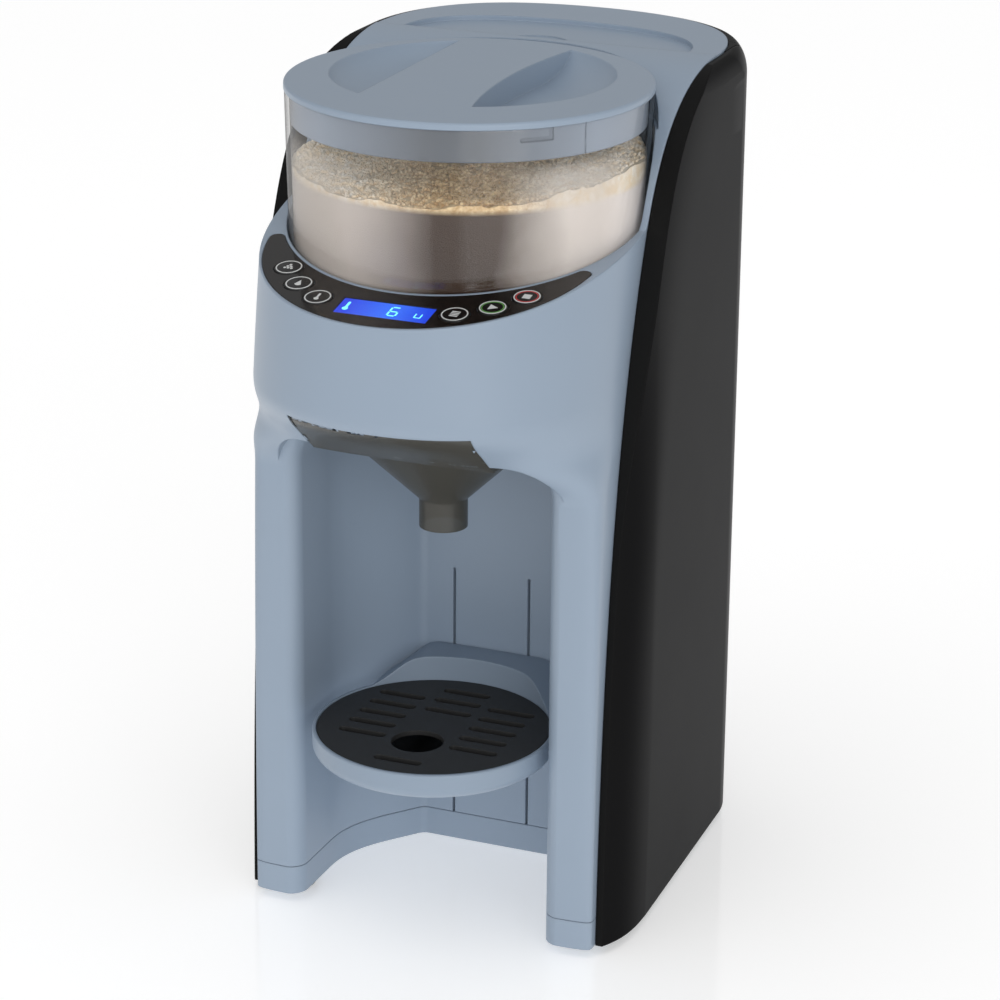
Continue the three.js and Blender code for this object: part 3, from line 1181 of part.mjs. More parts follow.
function lidGasket() {
  const outer = CONTAINER_TOP_RADIUS - CONTAINER_WALL - LID_SKIRT_CLEARANCE;
  const bottom = LID_DISC_BOTTOM_Z - LID_SKIRT_HEIGHT + GASKET_HEIGHT + FIT_GAP / 2;
  const top = bottom + GASKET_HEIGHT - FIT_GAP;
  return revolve([
    [outer - GASKET_DEPTH + FIT_GAP / 2, bottom],
    [outer, bottom],
    [outer, top],
    [outer - GASKET_DEPTH + FIT_GAP / 2, top],
  ], 0, CONTAINER_Y);
}

// Panel lens, display, buttons and the board below them
function controlPanel() {
  const lens = underTiltedPlane(
    crescent(PANEL_OUTER_RADIUS, PANEL_INNER_RADIUS, PANEL_TIP_RADIUS), 0, -PANEL_THICKNESS);
  const holes = tilted(() => join(
    buttonHoles(BUTTON_RADIUS + FIT_GAP, CUT_OVERRUN, -CUT_OVERRUN),
    displayBlock(FIT_GAP, CUT_OVERRUN, -CUT_OVERRUN),
  ));
  return cut(lens, holes);
}

function display() {
  return tilted(() => displayBlock(0, -DISPLAY_RECESS, FIT_GAP - BOARD_DEPTH));
}

function button(place) {
  const [x, y] = place;
  return tilted(() => join(
    rod(BUTTON_RADIUS, x, y, -BUTTON_CAP_DEPTH, BUTTON_CROWN / 2, 24),
    rod(BUTTON_RADIUS - BUTTON_CROWN, x, y, 0, BUTTON_CROWN, 24),
    rod(BUTTON_STEM_RADIUS, x, y, -BUTTON_STEM_DEPTH, 0, 8),
  ));
}

function controlBoard() {
  const board = underTiltedPlane(
    crescent(PANEL_OUTER_RADIUS - BOARD_MARGIN, PANEL_INNER_RADIUS + BOARD_MARGIN / 2, PANEL_TIP_RADIUS / 2),
    -BOARD_DEPTH,
    -BOARD_DEPTH - BOARD_THICKNESS,
  );
  const switches = tilted(() => join(...BUTTON_PLACES.map(([x, y]) => rod(
    SWITCH_RADIUS, x, y, -BOARD_DEPTH - BOARD_THICKNESS / 2, SWITCH_HEIGHT - BOARD_DEPTH, 6))));
  return join(board, switches);
}

// Funnel with its spout, sliding plate and the visor that closes the chin
function funnel() {
  const coneTop = FUNNEL_PLATE_BOTTOM_Z;
  const outer = revolve([
    [0, SPOUT_BOTTOM_Z],
    [SPOUT_RADIUS, SPOUT_BOTTOM_Z],
    [SPOUT_RADIUS, SPOUT_BOTTOM_Z + SPOUT_LENGTH],
    [FUNNEL_RADIUS, coneTop],
    [FUNNEL_RADIUS, FUNNEL_PLATE_TOP_Z],
    [0, FUNNEL_PLATE_TOP_Z],
  ], 0, FUNNEL_Y, 36);
  const inner = revolve([
    [0, SPOUT_BOTTOM_Z - CUT_OVERRUN],
    [SPOUT_RADIUS - FUNNEL_WALL, SPOUT_BOTTOM_Z - CUT_OVERRUN],
    [SPOUT_RADIUS - FUNNEL_WALL, SPOUT_BOTTOM_Z + SPOUT_LENGTH],
    [FUNNEL_RADIUS - FUNNEL_WALL, coneTop],
    [FUNNEL_RADIUS - FUNNEL_WALL, FUNNEL_PLATE_TOP_Z + CUT_OVERRUN],
    [0, FUNNEL_PLATE_TOP_Z + CUT_OVERRUN],
  ], 0, FUNNEL_Y, 36);
  const skin = housingLoft(HOUSING_BOTTOM_Z, CHIN_TOP_Z + 2 * WALL, 0);
  const slidePlate = block(-FUNNEL_PLATE_HALF_WIDTH, FUNNEL_PLATE_HALF_WIDTH,
    COLUMN_Y, FUNNEL_PLATE_REAR_Y, FUNNEL_PLATE_BOTTOM_Z, FUNNEL_PLATE_TOP_Z);
  const nosePlate = common(
    block(-FLANGE_HALF_WIDTH, FLANGE_HALF_WIDTH, FRONT_Y, COLUMN_Y + WALL,
      FUNNEL_PLATE_BOTTOM_Z, FUNNEL_PLATE_TOP_Z),
    skin,
  );
  return cut(join(outer, slidePlate, nosePlate, chinBand(0, FLANGE_SETBACK)), inner);
}

// Drip tray with a splash wall that rises towards the back, on a bracket hooked into the wall
function dripTray() {
  const rimInner = TRAY_RADIUS - TRAY_RIM;
  const ledgeZ = TRAY_TOP_Z - COVER_THICKNESS - FIT_GAP;
  const floorZ = TRAY_TOP_Z - TRAY_HEIGHT + TRAY_WALL;
  const round = new THREE.EllipseCurve(
    TRAY_BOTTOM_RADIUS, TRAY_TOP_Z - TRAY_HEIGHT / 2,
    TRAY_RADIUS - TRAY_BOTTOM_RADIUS, TRAY_HEIGHT / 2, -Math.PI / 2, 0, false, 0,
  ).getPoints(5).map((point) => [point.x, point.y]);
  const bowlSolid = revolve([
    [0, TRAY_TOP_Z - TRAY_HEIGHT],
    ...round,
    [TRAY_RADIUS, TRAY_TOP_Z],
    [rimInner, TRAY_TOP_Z],
    [rimInner, ledgeZ],
    [rimInner - TRAY_LEDGE, ledgeZ],
    [TRAY_BOTTOM_RADIUS, floorZ],
    [0, floorZ],
  ], 0, TRAY_Y);
  return join(bowlSolid, trayCollar(rimInner));
}

// Raised collar between the round tray and the back of the alcove
function trayCollar(innerRadius) {
  const top = TRAY_TOP_Z + COLLAR_HEIGHT;
  const bottom = TRAY_TOP_Z - COLLAR_BOTTOM_DROP;
  const end = COLLAR_END_X;
  const flat = COLLAR_FLAT_HALF_WIDTH;
  const middle = (end + flat) / 2;
  const profile = new THREE.Shape();
  profile.moveTo(-end, bottom);
  profile.lineTo(end, bottom);
  profile.lineTo(end, TRAY_TOP_Z - FIT_GAP);
  profile.bezierCurveTo(middle, TRAY_TOP_Z + COLLAR_HEIGHT / 2, middle, top, flat, top);
  profile.lineTo(-flat, top);
  profile.bezierCurveTo(-middle, top, -middle, TRAY_TOP_Z + COLLAR_HEIGHT / 2, -end, TRAY_TOP_Z - FIT_GAP);
  const bracketPocket = block(
    -BRACKET_HALF_WIDTH - FIT_GAP,
    BRACKET_HALF_WIDTH + FIT_GAP,
    ALCOVE_BACK_Y - BRACKET_THICKNESS - 2 * FIT_GAP,
    ALCOVE_BACK_Y + CUT_OVERRUN,
    bottom - CUT_OVERRUN,
    TRAY_TOP_Z + BRACKET_RISE + FIT_GAP,
  );
  return cut(
    common(
      prismY(profile, TRAY_Y, ALCOVE_BACK_Y, 6),
      prismZ(alcovePlan(-COLLAR_WALL_CLEARANCE), bottom, top, ALCOVE_STEPS),
    ),
    rod(innerRadius, 0, TRAY_Y, TRAY_TOP_Z - 2 * COVER_THICKNESS, top + CUT_OVERRUN, ROUND_STEPS),
    rod(TRAY_RADIUS - TRAY_RIM - TRAY_LEDGE, 0, TRAY_Y, bottom - CUT_OVERRUN, top, ROUND_STEPS),
    bracketPocket,
  );
}

function trayBracket() {
  const plateFrontY = ALCOVE_BACK_Y - FIT_GAP - BRACKET_THICKNESS;
  const top = TRAY_TOP_Z + BRACKET_RISE;
  const bottom = TRAY_TOP_Z - BRACKET_DROP;
  const plate = block(-BRACKET_HALF_WIDTH, BRACKET_HALF_WIDTH, plateFrontY, ALCOVE_BACK_Y - FIT_GAP, bottom, top);
  const hooks = [-1, 1].map((side) => {
    const x = side * TRACK_SLOT_X;
    const z = (top + bottom - HOOK_HEIGHT) / 2;
    const headY = ALCOVE_BACK_Y + WALL + FIT_GAP;
    return join(
      block(x - HOOK_WIDTH / 2, x + HOOK_WIDTH / 2, plateFrontY, headY + HOOK_HEAD_DEPTH, z, z + HOOK_HEIGHT),
      block(x - HOOK_HEAD_WIDTH / 2, x + HOOK_HEAD_WIDTH / 2, headY, headY + HOOK_HEAD_DEPTH, z, z + HOOK_HEIGHT),
    );
  });
  return join(plate, ...hooks);
}

function slotTool(x, y) {
  const half = SLOT_LENGTH / 2 - SLOT_WIDTH / 2;
  const shape = new THREE.Shape();
  shape.absarc(x + half, y, SLOT_WIDTH / 2, -Math.PI / 2, Math.PI / 2, false);
  shape.absarc(x - half, y, SLOT_WIDTH / 2, Math.PI / 2, (3 * Math.PI) / 2, false);
  return prismZ(shape, TRAY_TOP_Z - 2 * COVER_THICKNESS, TRAY_TOP_Z + COVER_THICKNESS, 4);
}

function trayCover() {
  const top = TRAY_TOP_Z - FIT_GAP;
  const radius = TRAY_RADIUS - TRAY_RIM - COVER_CLEARANCE;
  const disc = rod(radius, 0, TRAY_Y, top - COVER_THICKNESS + FIT_GAP, top, ROUND_STEPS);
  const slots = [slotTool(0, TRAY_Y - FRONT_SLOT_OFFSET)];
  for (let row = 0; row < SIDE_SLOT_ROWS; row += 1) {
    const y = TRAY_Y - SIDE_SLOT_FRONT_OFFSET + row * SLOT_ROW_PITCH;
    slots.push(slotTool(-SIDE_SLOT_X, y), slotTool(SIDE_SLOT_X, y));
  }
  for (let row = 0; row < REAR_SLOT_ROWS; row += 1) {
    slots.push(slotTool(0, TRAY_Y + REAR_SLOT_OFFSET + row * SLOT_ROW_PITCH));
  }
  const finger = rod(FINGER_HOLE_RADIUS, 0, TRAY_Y - FINGER_HOLE_OFFSET, 0, TOTAL_HEIGHT, 32);
  return cut(disc, ...slots, finger);
}

// Tank open at the top, with a small step under its collar and a valve hole in the floor
function waterTank() {
  const behind = block(-BODY_WIDTH, BODY_WIDTH, TANK_Y, REAR_Y, 0, TOTAL_HEIGHT);
  const inside = block(-BODY_WIDTH, BODY_WIDTH, TANK_Y + TANK_WALL, REAR_Y, 0, TOTAL_HEIGHT);
  const outer = common(join(
    planPrism(TANK_STEP, TANK_BOTTOM_Z, TANK_TOP_Z),
    planPrism(0, TANK_COLLAR_Z, TANK_TOP_Z),
  ), behind);
  const hollow = common(planPrism(TANK_STEP + TANK_WALL, TANK_BOTTOM_Z + TANK_WALL, TOTAL_HEIGHT), inside);
  const valveHole = rod(VALVE_RADIUS + FIT_GAP, 0, VALVE_Y, 0, TANK_BOTTOM_Z + 2 * TANK_WALL);
  return cut(outer, hollow, valveHole);
}

function tankValve() {
  const flangeBottom = TANK_BOTTOM_Z + TANK_WALL + FIT_GAP;
  return join(
    rod(VALVE_FLANGE_RADIUS, 0, VALVE_Y, flangeBottom, flangeBottom + VALVE_FLANGE_THICKNESS),
    rod(VALVE_RADIUS, 0, VALVE_Y, flangeBottom - VALVE_STUB_LENGTH, flangeBottom + VALVE_FLANGE_THICKNESS),
  );
}

function tankSeat() {
  const top = REAR_BASE_TOP_Z - FIT_GAP;
  return cut(
    rod(SEAT_RADIUS, 0, VALVE_Y, top - SEAT_LENGTH, top),
    rod(VALVE_RADIUS + FIT_GAP, 0, VALVE_Y, top - SEAT_LENGTH / 2, top + CUT_OVERRUN),
  );
}

// Tank lid: a dark frame with a rounded top edge and the blue dished panel that lies in it
function tankLidFrame() {
  const bottom = TANK_TOP_Z + FIT_GAP;
  const outer = common(
    rearEnvelope(),
    block(-BODY_WIDTH, BODY_WIDTH, TANK_Y, REAR_Y, bottom, TOTAL_HEIGHT),
  );
  const nest = deckPrism(HOUSING_HALF_WIDTH + FIT_GAP, DECK_END_Y + FIT_GAP, DECK_REAR_Y,
    LID_SHELF_Z, TOTAL_HEIGHT);
  const under = common(
    planPrism(2 * LID_FRAME_WALL, bottom - CUT_OVERRUN, LID_SHELF_Z - LID_FRAME_PLATE),
    block(-BODY_WIDTH, BODY_WIDTH, TANK_Y + TANK_WALL, REAR_Y, 0, TOTAL_HEIGHT),
  );
  return cut(outer, nest, under);
}

function tankLidPanel() {
  const bottom = LID_SHELF_Z + FIT_GAP;
  const top = bottom + LID_PANEL_THICKNESS;
  const front = DECK_REAR_Y + FIT_GAP;
  const plate = deckPrism(HOUSING_HALF_WIDTH, DECK_END_Y, front, bottom, top);
  const dish = deckPrism(DISH_HALF_WIDTH, REAR_Y - DISH_REAR_INSET, front + DISH_FRONT_MARGIN,
    top - LID_PANEL_DISH_DEPTH, top + CUT_OVERRUN);
  const scoop = rod(FINGER_SCOOP_RADIUS, FINGER_SCOOP_X, front, top - FINGER_SCOOP_DEPTH, top + CUT_OVERRUN);
  return cut(plate, dish, scoop);
}

function tankLidGasket() {
  const top = LID_SHELF_Z - LID_FRAME_PLATE - FIT_GAP;
  const wall = TANK_STEP + TANK_WALL + FIT_GAP;
  const bottom = top - TANK_GASKET_HEIGHT;
  const inset = 2 * LID_FRAME_WALL + FIT_GAP;
  const ring = common(
    planPrism(inset, bottom, top),
    block(-BODY_WIDTH, BODY_WIDTH, TANK_Y + TANK_WALL + FIT_GAP, REAR_Y, bottom, top),
  );
  const inner = common(
    planPrism(inset + wall, bottom - CUT_OVERRUN, top + CUT_OVERRUN),
    block(-BODY_WIDTH, BODY_WIDTH, TANK_Y + TANK_WALL + FIT_GAP + wall, REAR_Y, 0, TOTAL_HEIGHT),
  );
  return cut(ring, inner);
}

// Water path: pump, heater, nozzle and hoses
const PUMP_Y = COLUMN_Y + PUMP_SETBACK;
const HEATER_Y = COLUMN_Y + HEATER_SETBACK;
const PUMP_BOTTOM_Z = BAY_FLOOR_Z + FIT_GAP;
const PUMP_TOP_Z = PUMP_BOTTOM_Z + PUMP_HEIGHT;
const PUMP_PORT_TOP_Z = PUMP_TOP_Z + PUMP_HEAD_HEIGHT + PORT_HEIGHT;
const HEATER_TOP_Z = PUMP_BOTTOM_Z + HEATER_HEIGHT;
const HEATER_PORT_TOP_Z = HEATER_TOP_Z + HEATER_CAP_HEIGHT + PORT_HEIGHT;
const PORT_OFFSET = PUMP_HEAD_RADIUS / 2;

function ports(x, y, z0, z1) {
  return join(...[-1, 1].map((side) => rod(PORT_RADIUS, x + side * PORT_OFFSET, y, z0, z1, 12)));
}

function waterPump() {
  return join(
    rod(PUMP_RADIUS, PUMP_X, PUMP_Y, PUMP_BOTTOM_Z, PUMP_TOP_Z, 32),
    rod(PUMP_HEAD_RADIUS, PUMP_X, PUMP_Y, PUMP_TOP_Z - WALL, PUMP_TOP_Z + PUMP_HEAD_HEIGHT, 8),
    ports(PUMP_X, PUMP_Y, PUMP_TOP_Z, PUMP_PORT_TOP_Z),
  );
}

function waterHeater() {
  return join(
    rod(HEATER_RADIUS, HEATER_X, HEATER_Y, PUMP_BOTTOM_Z, HEATER_TOP_Z, 32),
    rod(HEATER_CAP_RADIUS, HEATER_X, HEATER_Y, HEATER_TOP_Z - HEATER_CAP_HEIGHT,
      HEATER_TOP_Z + HEATER_CAP_HEIGHT, 32),
    ports(HEATER_X, HEATER_Y, HEATER_TOP_Z, HEATER_PORT_TOP_Z),
  );
}

const ROOF_TOP_Z = ALCOVE_TOP_Z + WALL;
const NOZZLE_TOP_Z = ROOF_TOP_Z + FIT_GAP + NOZZLE_HEIGHT;

function waterNozzle() {
  const seat = ROOF_TOP_Z + FIT_GAP;
  return join(
    rod(NOZZLE_RADIUS, NOZZLE_X, FUNNEL_Y, seat, NOZZLE_TOP_Z, 16),
    rod(NOZZLE_TIP_RADIUS, NOZZLE_X, FUNNEL_Y, seat - NOZZLE_TIP_LENGTH, seat + WALL, 12),
  );
}

const HOSE_RISE = 5 * HOSE_RADIUS;

function feedHose() {
  const x = PUMP_X - PORT_OFFSET;
  const seatBottom = REAR_BASE_TOP_Z - FIT_GAP - SEAT_LENGTH - FIT_GAP;
  return tube([
    [0, VALVE_Y, seatBottom],
    [0, VALVE_Y, seatBottom - HOSE_RADIUS],
    [0, VALVE_Y - HOSE_RISE / 2, seatBottom - HOSE_RISE],
    [0, TANK_Y, seatBottom - HOSE_RISE],
    [x / 3, CHASSIS_Y - HOSE_RISE, seatBottom - HOSE_RISE / 2],
    [x / 3, CHASSIS_Y - 2 * HOSE_RISE, PUMP_TOP_Z],
    [x / 2, PUMP_Y, PUMP_PORT_TOP_Z + HOSE_RISE],
    [x, PUMP_Y, PUMP_PORT_TOP_Z + HOSE_RISE],
    [x, PUMP_Y, PUMP_PORT_TOP_Z + FIT_GAP],
  ], HOSE_RADIUS);
}

function pressureHose() {
  const from = PUMP_X + PORT_OFFSET;
  const to = HEATER_X + PORT_OFFSET;
  return tube([
    [from, PUMP_Y, PUMP_PORT_TOP_Z + FIT_GAP],
    [from, PUMP_Y, PUMP_PORT_TOP_Z + HOSE_RISE],
    [from - HOSE_RISE, PUMP_Y, HEATER_TOP_Z],
    [0, PUMP_Y, HEATER_PORT_TOP_Z + HOSE_RISE],
    [to, HEATER_Y, HEATER_PORT_TOP_Z + HOSE_RISE],
    [to, HEATER_Y, HEATER_PORT_TOP_Z + FIT_GAP],
  ], HOSE_RADIUS);
}

function nozzleHose() {
  const x = HEATER_X - PORT_OFFSET;
  return tube([
    [x, HEATER_Y, HEATER_PORT_TOP_Z + FIT_GAP],
    [x, HEATER_Y, HEATER_PORT_TOP_Z + 2 * HOSE_RISE],
    [x, HEATER_Y - HOSE_RISE, NOZZLE_TOP_Z],
    [HEATER_X / 2, ALCOVE_BACK_Y + HOSE_RISE, NOZZLE_TOP_Z + HOSE_RISE / 2],
    [NOZZLE_X + HOSE_RISE / 2, CONTAINER_Y, NOZZLE_TOP_Z + HOSE_RISE],
    [NOZZLE_X, FUNNEL_Y, NOZZLE_TOP_Z + HOSE_RISE],
    [NOZZLE_X, FUNNEL_Y, NOZZLE_TOP_Z + FIT_GAP],
  ], HOSE_RADIUS);
}

// Drive: gear motor on the alcove roof and the coupling that turns the wheels
const MOTOR_BOTTOM_Z = ROOF_TOP_Z + FIT_GAP;
const MOTOR_TOP_Z = MOTOR_BOTTOM_Z + MOTOR_HEIGHT;

function gearMotor() {
  return join(
    rod(MOTOR_RADIUS, 0, CONTAINER_Y, MOTOR_BOTTOM_Z, MOTOR_TOP_Z, 32),
    rod(MOTOR_SHAFT_RADIUS, 0, CONTAINER_Y, MOTOR_TOP_Z - WALL, MOTOR_TOP_Z + MOTOR_SHAFT_LENGTH, 16),
  );
}

function driveCoupling() {
  const bottom = MOTOR_TOP_Z + MOTOR_SHAFT_LENGTH + FIT_GAP;
  return join(
    rod(COUPLING_RADIUS, 0, CONTAINER_Y, bottom, DOG_BOTTOM_Z, 32),
    dogCross(DOG_ARM_LENGTH, DOG_ARM_THICKNESS, DOG_BOTTOM_Z - WALL, DOG_BOTTOM_Z + DOG_HEIGHT),
  );
}

function powderChute() {
  const z0 = ROOF_TOP_Z + FIT_GAP;
  const z1 = BOWL_FLOOR_Z - WALL - FIT_GAP;
  return cut(
    rod(OUTLET_RADIUS + CHUTE_WALL, 0, FUNNEL_Y, z0, z1, 32),
    rod(OUTLET_RADIUS, 0, FUNNEL_Y, z0 - CUT_OVERRUN, z1 + CUT_OVERRUN, 32),
  );
}

function mainBoard() {
  const outer = HOUSING_HALF_WIDTH - WALL - FIT_GAP;
  const y0 = COLUMN_Y + MAIN_BOARD_SETBACK;
  const inner = outer - BOARD_THICKNESS;
  const z0 = MAIN_BOARD_BOTTOM_Z;
  return join(
    block(inner, outer, y0, y0 + MAIN_BOARD_LENGTH, z0, z0 + MAIN_BOARD_HEIGHT),
    block(inner - TRANSFORMER_DEPTH, inner + BOARD_THICKNESS / 2, y0 + BOARD_MARGIN,
      y0 + BOARD_MARGIN + TRANSFORMER_LENGTH, z0 + BOARD_MARGIN, z0 + BOARD_MARGIN + TRANSFORMER_HEIGHT),
  );
}

// Materials by name
function material(color, roughness, metalness = 0, opacity = 1) {
  return new THREE.MeshStandardMaterial({ color, roughness, metalness, opacity, transparent: opacity < 1 });
}

const group = new THREE.Group();

function addPiece(name, solid, look) {
  const mesh = new THREE.Mesh(geometryFromSolid(solid), look);
  mesh.name = name;
  group.add(mesh);
}

const gloss = material(BLUE, 0.32);
const shellLook = material(DARK, 0.36);
const dark = material(CHARCOAL, 0.5);
const rubber = material(RUBBER, 0.8);

addPiece('front_housing', frontHousing(), gloss);
addPiece('inner_frame', innerFrame(), dark);
addPiece('base_plinth', basePlinth(), gloss);
addPiece('side_shell_left', sideShell(-1), shellLook);
addPiece('side_shell_right', sideShell(1), shellLook);
addPiece('deck_corner_left', deckCorner(-1), shellLook);
addPiece('deck_corner_right', deckCorner(1), shellLook);
addPiece('rear_chassis', rearChassis(), dark);
addPiece('power_inlet', powerInlet(), rubber);

const FOOT_PLACES = {
  front_left: [-(HOUSING_HALF_WIDTH - FOOT_EDGE_INSET), COLUMN_Y + FRONT_FOOT_SETBACK],
  front_right: [HOUSING_HALF_WIDTH - FOOT_EDGE_INSET, COLUMN_Y + FRONT_FOOT_SETBACK],
  rear_left: [-REAR_FOOT_X, REAR_Y - REAR_FOOT_SETBACK],
  rear_right: [REAR_FOOT_X, REAR_Y - REAR_FOOT_SETBACK],
};
for (const [place, [x, y]] of Object.entries(FOOT_PLACES)) {
  addPiece(`foot_${place}`, foot(x, y), rubber);
}

addPiece('control_panel', controlPanel(), material(GLOSS_BLACK, 0.08));
addPiece('display_window', display(), material(SCREEN_BLUE, 0.2));
BUTTON_PLACES.forEach((place, i) => {
  addPiece(`button_${BUTTON_NAMES[i]}`, button(place), material(GLOSS_BLACK, 0.2));
});
addPiece('control_board', controlBoard(), material(BOARD_GREEN, 0.5));
addPiece('main_board', mainBoard(), material(BOARD_GREEN, 0.5));

addPiece('powder_container', powderContainer(), material(CLEAR, 0.05, 0, 0.3));
addPiece('dosing_wheel', dosingWheel(), material(WHITE, 0.5));
addPiece('stirring_wheel', stirringWheel(), material(WHITE, 0.5));
addPiece('hub_nut', hubNut(), material(WHITE, 0.5));
addPiece('formula_powder', formulaPowder(), material(POWDER, 1));
addPiece('container_lid', containerLid(), gloss);
addPiece('lid_gasket', lidGasket(), material(SILICONE, 0.6));

addPiece('gear_motor', gearMotor(), material(STEEL, 0.35, 1));
addPiece('drive_coupling', driveCoupling(), material(WHITE, 0.5));
addPiece('powder_chute', powderChute(), material(WHITE, 0.5));
addPiece('funnel', funnel(), material(SMOKE, 0.15, 0, 0.75));

addPiece('drip_tray', dripTray(), gloss);
addPiece('tray_bracket', trayBracket(), gloss);
addPiece('tray_cover', trayCover(), dark);

addPiece('water_tank', waterTank(), shellLook);
addPiece('tank_valve', tankValve(), material(WHITE, 0.5));
addPiece('tank_seat', tankSeat(), rubber);
addPiece('tank_lid_frame', tankLidFrame(), shellLook);
addPiece('tank_lid_panel', tankLidPanel(), gloss);
addPiece('tank_lid_gasket', tankLidGasket(), material(SILICONE, 0.6));

addPiece('water_pump', waterPump(), dark);
addPiece('water_heater', waterHeater(), material(STEEL, 0.3, 1));
addPiece('water_nozzle', waterNozzle(), material(WHITE, 0.5));
addPiece('feed_hose', feedHose(), material(SILICONE, 0.6));
addPiece('pressure_hose', pressureHose(), material(SILICONE, 0.6));
addPiece('nozzle_hose', nozzleHose(), material(SILICONE, 0.6));

export default group;
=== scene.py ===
import json
import math

import bmesh
import bpy
import numpy as np
from mathutils import Matrix, Vector, noise


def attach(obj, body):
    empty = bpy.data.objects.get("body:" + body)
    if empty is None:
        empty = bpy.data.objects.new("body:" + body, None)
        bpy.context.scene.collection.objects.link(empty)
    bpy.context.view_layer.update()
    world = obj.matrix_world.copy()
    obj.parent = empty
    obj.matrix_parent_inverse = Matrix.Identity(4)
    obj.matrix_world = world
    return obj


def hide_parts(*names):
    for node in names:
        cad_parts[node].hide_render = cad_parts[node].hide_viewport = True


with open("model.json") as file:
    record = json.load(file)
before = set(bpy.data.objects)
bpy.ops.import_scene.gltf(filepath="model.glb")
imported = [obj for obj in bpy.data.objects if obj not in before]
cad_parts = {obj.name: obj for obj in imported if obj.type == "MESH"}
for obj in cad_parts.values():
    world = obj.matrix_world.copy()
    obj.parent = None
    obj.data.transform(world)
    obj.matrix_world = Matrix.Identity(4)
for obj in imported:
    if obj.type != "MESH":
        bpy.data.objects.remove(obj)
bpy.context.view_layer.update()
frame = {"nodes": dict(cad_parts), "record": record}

MM = 0.001

# Sizes of the machine in millimetres, as in its solids
TOTAL_HEIGHT, BODY_WIDTH, BODY_DEPTH = 370.0, 181.0, 266.0
FRONT_Y, REAR_Y, COLUMN_Y = -133.0, 133.0, -79.0
HEAD_OVERHANG, WALL, GAP, OVERRUN = 54.0, 3.0, 0.3, 2.0
BASE_BOTTOM, BASE_TOP, HOUSING_BOTTOM = 4.4, 17.4, 17.7
HALF_WIDTH, HOUSING_REAR, DECK_REAR = 80.0, 85.9, 58.8
CHIN_BOTTOM, CHIN_TOP, CHIN_WALL = 206.0, 252.0, 4.4
COLUMN_POWER, HEAD_POWER, BLEND_POWER = 8.0, 2.14, 4.0
EDGE_LOWER = [(-72, 4.4), (-69.5, 110), (-63, 225), (-27, 311)]
EDGE_UPPER = [(-27, 311), (-12.6, 345.4), (12, 370), (62, 370)]
JAR_Y, JAR_TOP_R, JAR_BOTTOM_R, JAR_WALL = -25.4, 77.4, 75.7, 2.0
JAR_BOTTOM, JAR_TOP, JAR_FLOOR, HUB_HOLE_R = 283.3, 366.7, 290.0, 9.4
LID_R, SKIRT_R, DISH_SHIFT_Y = 77.7, 74.9, 11.0
GRIP_LEFT, GRIP_RIGHT, GRIP_WAIST = 31.5, 25.5, 13.4
BOWL_FLOOR, BOWL_CLEARANCE, SHAFT_HOLE_R = 283.0, 0.8, 8.0
POWDER_TOP, HEAP_GAP, HEAP_SINK, WHEEL_TOP, WHEEL_SWEEP = 335.6, 0.06, 1.2, 323.4, 69.4
OUTLET_R, NOZZLE_HOLE_R, NOZZLE_X = 11.0, 2.7, 24.0
PANEL_SLOPE, PANEL_Y, PANEL_Z = 0.2, -101.0, 298.8
PANEL_CENTRE_Y, PANEL_OUTER, PANEL_INNER, PANEL_TIP, PANEL_THICK = -59.3, 72.6, 78.4, 3.2, 1.4
PANEL_EDGE, PANEL_BORE, KEY_INSET, KEYS_X = 1.1, 7.4, 9.6, 1.0
KEY_R, KEY_CROWN, KEY_DEPTH = 6.2, 0.4, 2.6
SCREEN_W, SCREEN_H, SCREEN_X, SCREEN_RECESS, SCREEN_INSET, SCREEN_DEPTH = 40.0, 12.4, 2.0, 0.2, 7.8, 9.0
ALCOVE_HALF, ALCOVE_BACK, ALCOVE_TOP, ARCH_R, MOUTH_R = 57.5, 3.2, 228.0, 20.0, 8.0
TRACK_X, TRACK_WIDTH, TRACK_LOW, TRACK_HIGH, BRACKET_HALF = 18.0, 1.2, 16.0, 138.0, 25.0
FUNNEL_Y, SPOUT_R, SPOUT_BOTTOM, SPOUT_LENGTH = -52.2, 10.5, 180.6, 12.8
FUNNEL_R, FUNNEL_WALL, PLATE_HALF, PLATE_REAR, PLATE_BOTTOM, PLATE_TOP = 42.4, 1.6, 45.2, -7.8, 224.0, 226.4
VISOR_HALF, VISOR_TOP, VISOR_SETBACK, VISOR_INSET, VISOR_GAP = 40.6, 246.0, 3.6, 0.4, 0.12
TRAY_Y, TRAY_TOP, TRAY_R, TRAY_HEIGHT, TRAY_BOTTOM_R = -62.5, 90.9, 52.9, 13.4, 42.0
FINGER_HOLE_R, FINGER_HOLE_SHIFT = 11.4, 18.0
SHELL_INNER, SHELL_REAR, TANK_FRONT = 80.3, 89.0, 89.3
TAPER_START, TAPER_END, TAPER_IN, TAPER_X = -35.0, 78.0, 4.3, 83.8
ROUND_START, ROUND_END, ROUND_SHARE, ROUND_DEPTH, ROUND_WIDTH = 170.0, 290.0, 0.85, 7.2, 36.0
TANK_BOTTOM, TANK_TOP, VALVE_HOLE_R, VALVE_Y = 62.9, 355.2, 5.8, 109.0
# Heights and reaches of cutting tools, well past the machine
SKY, SIDE_REACH, REAR_REACH = 400.0, 100.0, 140.0
# Direction across the powder, along which its heap rises and its painted shadow band and painted highlight
# lie
ACROSS_X, ACROSS_Y = 0.928, 0.374
LID_STEP, LID_THICK, LID_RIM, LID_RIM_DROP = 0.4, 6.0, 2.6, 1.1
LID_ROOM_SHIFT, LID_ROOM_BOTTOM, DECK_CURVE_START = 2.5, 350.0, 60.0
SHELF = TOTAL_HEIGHT - LID_STEP - LID_THICK - GAP
DECK_END = REAR_Y - LID_RIM
TILT = math.atan(PANEL_SLOPE)


